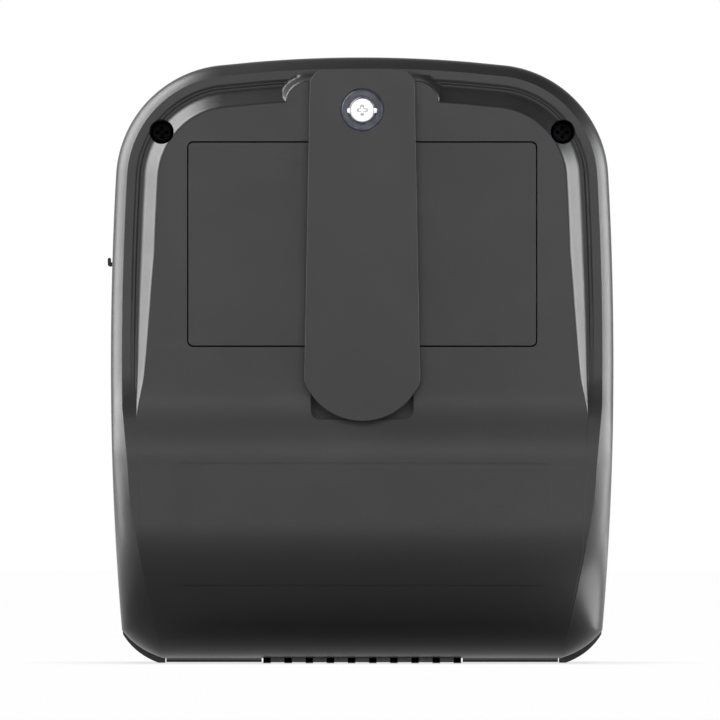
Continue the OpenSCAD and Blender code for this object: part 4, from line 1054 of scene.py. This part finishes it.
def make_clip_spring():
    """Torsion spring: one leg lies on the base, the coil goes round the pin, one leg pushes."""
    r, pitch, steps = 1.15, CLIP_WIRE + 0.5, 32
    x0, rest = -pitch * CLIP_CURLS / 2, Y_PLATEAU - 1.05 - CLIP_WIRE / 2
    path = [(x0 - 0.1, rest, CLIP_PIN_Z + s) for s in (2.9, 1.6)]
    for i in range(steps * CLIP_CURLS + steps // 2 + 1):
        a = -2 * pi * i / steps
        path.append((x0 + pitch * i / steps, CLIP_PIN_Y + r * cos(a),
            CLIP_PIN_Z + r * sin(a)))
    path += [(pitch / 2 - x0, CLIP_PIN_Y - r, CLIP_PIN_Z + s) for s in (1.6, 3.2)]
    twist = ("root", "clip", (-2.5 * MM, 0, 0), (3 * MM, 0, 0))
    show(wire_along("clip_spring", path, CLIP_WIRE), "clip_spring_wire", twist, "spring_steel",
        "clip_spring")


# Front: case half with its control panel, paper lid, buttons, windows and port cover
def side_fills(side):
    """Solid parts of the front half: side wall, hinge cheek, screw boss and key-board posts."""
    wall = block(*across(side, OPENING_X, CHEEK_END), Y_PART, Y_FRONT, 0, EXIT_TOP)
    cheek = block(*across(side, CHEEK_X, CHEEK_END), Y_PART, Y_FRONT + 1, -1, HINGE_Z + 16)
    combine(cheek, "INTERSECT", [hinge_rod(*across(side, CHEEK_X - 0.1, 48), CHEEK_D)])
    boss = rod_y(Y_PART + 0.3, Y_FRONT + 1, 7, side * WELL_X, WELL_Z)
    posts = [rod_y(KEY_Y + KEY_T, KEY_Y + KEY_T + 14, 4.4, side * KEY_X, PANEL_Z + dz)
        for dz in (-KEY_DZ, KEY_DZ)]
    return [wall, cheek, boss] + posts


def panel_holes():
    y0, y1, more = Y_FRONT - 12, Y_FRONT + 2, 2 * SLIP
    holes = [rod_y(y0, y1, BUTTON_D + more, x, PANEL_Z, 96) for x in (FEED_X, POWER_X)]
    holes.append(along_y(rounded(RELEASE_W + more, RELEASE_H + more, 2.5), y0, y1, (0, RELEASE_Z)))
    for x in LIGHT_X:
        holes.append(along_y(rounded(5 + more, 1.8 + more, 0.9), y0, y1, (x, PANEL_Z)))
    return holes


def make_top_case():
    hollow = closed_skin("hollow", front_rings(WALL, 4))
    cut(hollow, *side_fills(-1), *side_fills(1),
        block(-47, 47, PLATEN_Y + 6.4, Y_FRONT, EXIT_TOP, EXIT_TOP + 2.4))
    case = closed_skin("top_case", front_rings(0, 14))
    gap = block(-OPENING_X, OPENING_X, Y_PART - 2, Y_FRONT + 1, HINGE_Z - 5, EXIT_TOP)
    cut(gap, hinge_rod(-50, 50, CHEEK_D))
    cut(case, hollow, gap,
        block(-CHEEK_X, CHEEK_X, Y_PART - 2, Y_FRONT + 1, -1, EXIT_TOP + 0.001))
    for side in SIDES:
        cut(case, rod_y(Y_PART - 1, Y_PART + 12, 2.5, side * WELL_X, WELL_Z, 32),
            *[rod_y(KEY_Y, KEY_Y + 6.2, 1.5, side * KEY_X, PANEL_Z + dz, 24)
                for dz in (-KEY_DZ, KEY_DZ)])
    cut(case, hinge_rod(-46, 46, PIN_BORE, 32), *panel_holes())
    show(case, "top_case_moulding", "root", "front_plastic", "top_case")


def lid_line(t):
    line = arc_points(Y_FRONT - FOOT_R, FOOT_R, FOOT_R - t, -86, 0, 40)
    return line + [(Y_FRONT - t, z) for z in (30, 46, LID_TOP - 0.5)]


def lid_ring(x, t):
    outer, inner = lid_line(t), lid_line(WALL)
    outer += [(Y_FRONT - t - 0.2, LID_TOP - 0.1), (Y_FRONT - t - 0.6, LID_TOP)]
    ring = np.array(outer + [(Y_FRONT - WALL, LID_TOP)] + inner[::-1])
    return np.column_stack([np.full(len(ring), x), ring])


def lid_rib():
    cy, cz = Y_FRONT - FOOT_R, FOOT_R
    rib = arc_points(cy, cz, 12.3, -30, 0, 12) + [(28.7, 57.8), (27.2, 54.8)]
    return along_x(rib + arc_points(cy, cz, 10.8, 0, -20, 8), -0.6, 0.6)


def make_paper_lid():
    half, near = LID_W / 2, KNUCKLE_X[0]
    lid = loft("lid", [lid_ring(x, t) for x, t in ((-half, 0.35), (-half + 0.1, 0.1),
        (-half + 0.35, 0), (half - 0.35, 0), (half - 0.1, 0.1), (half, 0.35))])
    join(lid, row_of("lid_ribs", lid_rib(), 5, -32, 16, "front_plastic"),
        block(-39.6, 39.6, 27.0, 29.4, 62.2, LID_TOP - 0.002))
    arm = [(29.4, 49.8), (18.8, 57.4), (18.8, 58), (17.4, 62), (21.4, 66.6), (29.4, 63.79)]
    for side in SIDES:
        join(lid, hinge_rod(*across(side, *KNUCKLE_X), BARREL_D),
            along_x(arm, *across(side, 42.4, 43.6)))
    foot = hinge_rod(-47, 47, CHEEK_D + 0.8)
    cut(foot, block(-LID_FOOT_W / 2, LID_FOOT_W / 2, 0, Y_FRONT + 1, -1, 40))
    cut(lid, foot, block(-near, near, HINGE_Y - 6, HINGE_Y + 4.7, -1, HINGE_Z + 4.7),
        hinge_rod(-50, 50, PIN_BORE, 40),
        rod_x(-50, 50, 2 * BUSH_R + 0.06, PLATEN_Y, PLATEN_Z, 48))
    show(lid, "paper_lid_moulding", "lid", "front_plastic", "paper_lid")


def button_cap(x):
    face, r = panel_face(PANEL_Z), BUTTON_D / 2
    cap = turned([(face - 3.9, r + 0.8), (face - 2.9, r + 0.8), (face - 2.9, r), (face + 0.35, r),
        (face + 0.6, r - 0.1), (face + 0.75, r - 0.35), (face + 0.8, r - 0.75),
        (face + 0.62, r - 2.2), (face + 0.55, 0.6)], (x, 0, PANEL_Z), "y", 96)
    return join(cap, rod_y(KEY_Y + KEY_T + 3.4, face - 3.6, 3, x, PANEL_Z, 40))


def power_sign(floor, top, less):
    """Ring open at the top with a bar in the opening, the usual on and off sign."""
    inner, outer = 1.75 + less, 2.25 - less
    ring = turned_ring([(floor, inner), (floor, outer), (top, outer), (top, inner)],
        (POWER_X, 0, PANEL_Z), "y", 72)
    gap, half = 0.8 + less, 0.25 - less
    cut(ring, block(POWER_X - gap, POWER_X + gap, floor - 1, top + 1, PANEL_Z + 0.5, PANEL_Z + 3))
    return ring, block(POWER_X - half, POWER_X + half, floor, top, PANEL_Z + 0.4 + less,
        PANEL_Z + 2.6 - less)


def feed_sign(floor, top, less):
    """Arrow over a line, the usual sign for feeding paper."""
    arrow = along_y([(-1.6 + 2 * less, -0.3 + less), (1.6 - 2 * less, -0.3 + less),
        (0, 2.1 - 2 * less)], floor, top, (FEED_X, PANEL_Z))
    return arrow, block(FEED_X - 1.6 + less, FEED_X + 1.6 - less, floor, top,
        PANEL_Z - 1.6 + less, PANEL_Z - 1.1 - less)


def make_button(word, x, sign):
    """Round key with a sign sunk in its cap, and the pale sign as a piece of its own."""
    face = panel_face(PANEL_Z)
    floor = face + 0.2
    cap = without_slivers(cut(button_cap(x), *sign(floor, face + 2, 0)))
    show(cap, word + "_button_cap", word, "key_plastic", word + "_button")
    show(merged(*sign(floor - 0.1, face + 0.5, 0.01)), word + "_button_sign", word,
        "key_plastic", finish="key_sign_plastic")


def make_release_button():
    face, middle = panel_face(RELEASE_Z), (0, RELEASE_Z)
    body = softened(rounded(RELEASE_W, RELEASE_H, 2.4), face - 3.8, face + 0.9, 0.3, middle,
        both=True)
    rib = softened(rounded(0.8, 4.8, 0.39, 6), face - 0.6, face + 1.1, 0.12, middle, both=True)
    flange = rounded(RELEASE_W + 1.6, RELEASE_H + 1.6, 2.4)
    join(body, along_y(flange, face - 3.8, face - 2.8, middle),
        row_of("grip_ribs", rib, 9, -8, 2, "key_plastic"))
    show(body, "release_button_bar", "release", "key_plastic", "release_button")


def make_light_windows():
    face = panel_face(PANEL_Z)
    panes = [softened(rounded(5, 1.8, 0.85), face - 2.4, face - 0.1, 0.12, (x, PANEL_Z), both=True)
        for x in LIGHT_X]
    show(merged(*panes), "light_window_panes", "root", "light_clear", "light_windows")


def make_port_cover():
    """Rubber leaf over the sockets, with its live-hinge bead and its small pull tab."""
    x0, z0 = -CASE_W / 2 + 0.4, PORT_LOW + 0.2 + 0.7
    leaf = block(x0, x0 + 1.4, YC - 7.4, YC + 0.4, z0, PORT_HIGH - 0.2)
    lower, upper = PORT_HIGH - 3.1, PORT_HIGH - 2.2
    hook = arc_points(x0 - 0.85, upper + 0.65, 0.35, 0, 180, 10)
    hook += arc_points(x0 - 0.7, lower + 0.5, 0.5, 180, 270, 8)
    hook += [(x0 + 0.1, lower), (x0 + 0.1, upper), (x0 - 0.4, upper), (x0 - 0.5, upper + 0.1)]
    join(leaf, rod_y(YC - 7.4 + 0.002, YC + 0.398, 1.4, x0 + 0.7, z0, 40),
        along_y(hook, YC - 4.4, YC - 2.6))
    show(leaf, "port_cover_leaf", "port", "port_rubber", "port_cover")


# Printing parts behind the lid
def make_hinge_pin():
    pin = chamfered(-LID_W / 2, LID_W / 2, HINGE_PIN_D, HINGE_Y, HINGE_Z, 0.3, 48)
    show(pin, "lid_hinge_pin", "root", "bright_steel", "hinge_pin")


def make_platen():
    shaft = chamfered(-46, 42, SHAFT_D, PLATEN_Y, PLATEN_Z, 0.3, 64)
    show(shaft, "platen_shaft_rod", "platen", "bright_steel", "platen_shaft")
    r, hub = PLATEN_D / 2, SHAFT_D / 2 + 0.03
    rubber = turned_ring([(-39.8, hub), (-39.8, r - 0.3), (-39.7, r - 0.1), (-39.5, r), (39.5, r),
        (39.7, r - 0.1), (39.8, r - 0.3), (39.8, hub)], (0, PLATEN_Y, PLATEN_Z), "x")
    show(rubber, "platen_rubber_sleeve", "platen", "platen_silicone", "platen_rubber")


def make_tear_bar():
    count, low, y = 54, EXIT_TOP - 0.8, PLATEN_Y + 5.7
    pitch = 80 / count
    tooth = along_y([(0.004, low + 1.1), (pitch / 2, low), (pitch - 0.004, low + 1.1),
        (pitch - 0.004, low + 1.4), (0.004, low + 1.4)], y + 0.001, y + 0.599)
    row = row_of("tear_teeth", tooth, count, -40, pitch, "spring_steel")
    bar = join(block(-40, 40, y, y + 0.6, low + 1.1, low + 3.4), row)
    show(bar, "tear_bar_teeth", "root", "spring_steel", "tear_bar")


def make_heat_sink():
    rear, front, low, high = 12.8, 15.3, 59, 71
    sink = block(-39.5, 39.5, rear, front, low, high)
    pivot = chamfered(-42, 42, 2, front - 0.9, low + 1.2, 0.2, 32)
    join(sink, pivot)
    slot = block(-2, 2, rear - 0.4, rear + 0.8, high - 3.5, high + 1)
    cut(sink, row_of("slots", slot, 9, -32, 8, "heat_sink_metal"))
    show(sink, "heat_sink_fins", "head", "heat_sink_metal", "head_heat_sink")


def make_head_springs():
    low, high, r, steps, turns = PLATEN_Y - 12.75, PLATEN_Y - 8.9, 1.5, 32, 3
    angles = [(i / (turns * steps), 2 * pi * i / steps) for i in range(turns * steps + 1)]
    wires = [wire_along("head_spring", [(x + r * cos(a), mix(low, high, t),
        PLATEN_Z + 3 + r * sin(a)) for t, a in angles], HEAD_WIRE) for x in SPRING_X]
    springs = show(merged(*wires), "head_spring_wires", "root", "spring_steel", "head_springs")
    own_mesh(springs)


# Finishes for the pieces that keep their CAD shape
for part in frame["record"]["subparts"]:
    mesh = nodes[part["node"]].data
    mesh.materials.clear()
    mesh.materials.append(FINISH[part["material_slot"]])

make_rear_case()
make_lands()
make_battery_door()
make_clip_arm()
make_clip_bush()
make_clip_screw()
make_case_screws()
make_clip_base()
make_clip_pin()
make_clip_spring()
make_top_case()
make_paper_lid()
make_button("power", POWER_X, power_sign)
make_button("feed", FEED_X, feed_sign)
make_release_button()
make_light_windows()
make_port_cover()
make_hinge_pin()
make_platen()
make_tear_bar()
make_heat_sink()
make_head_springs()
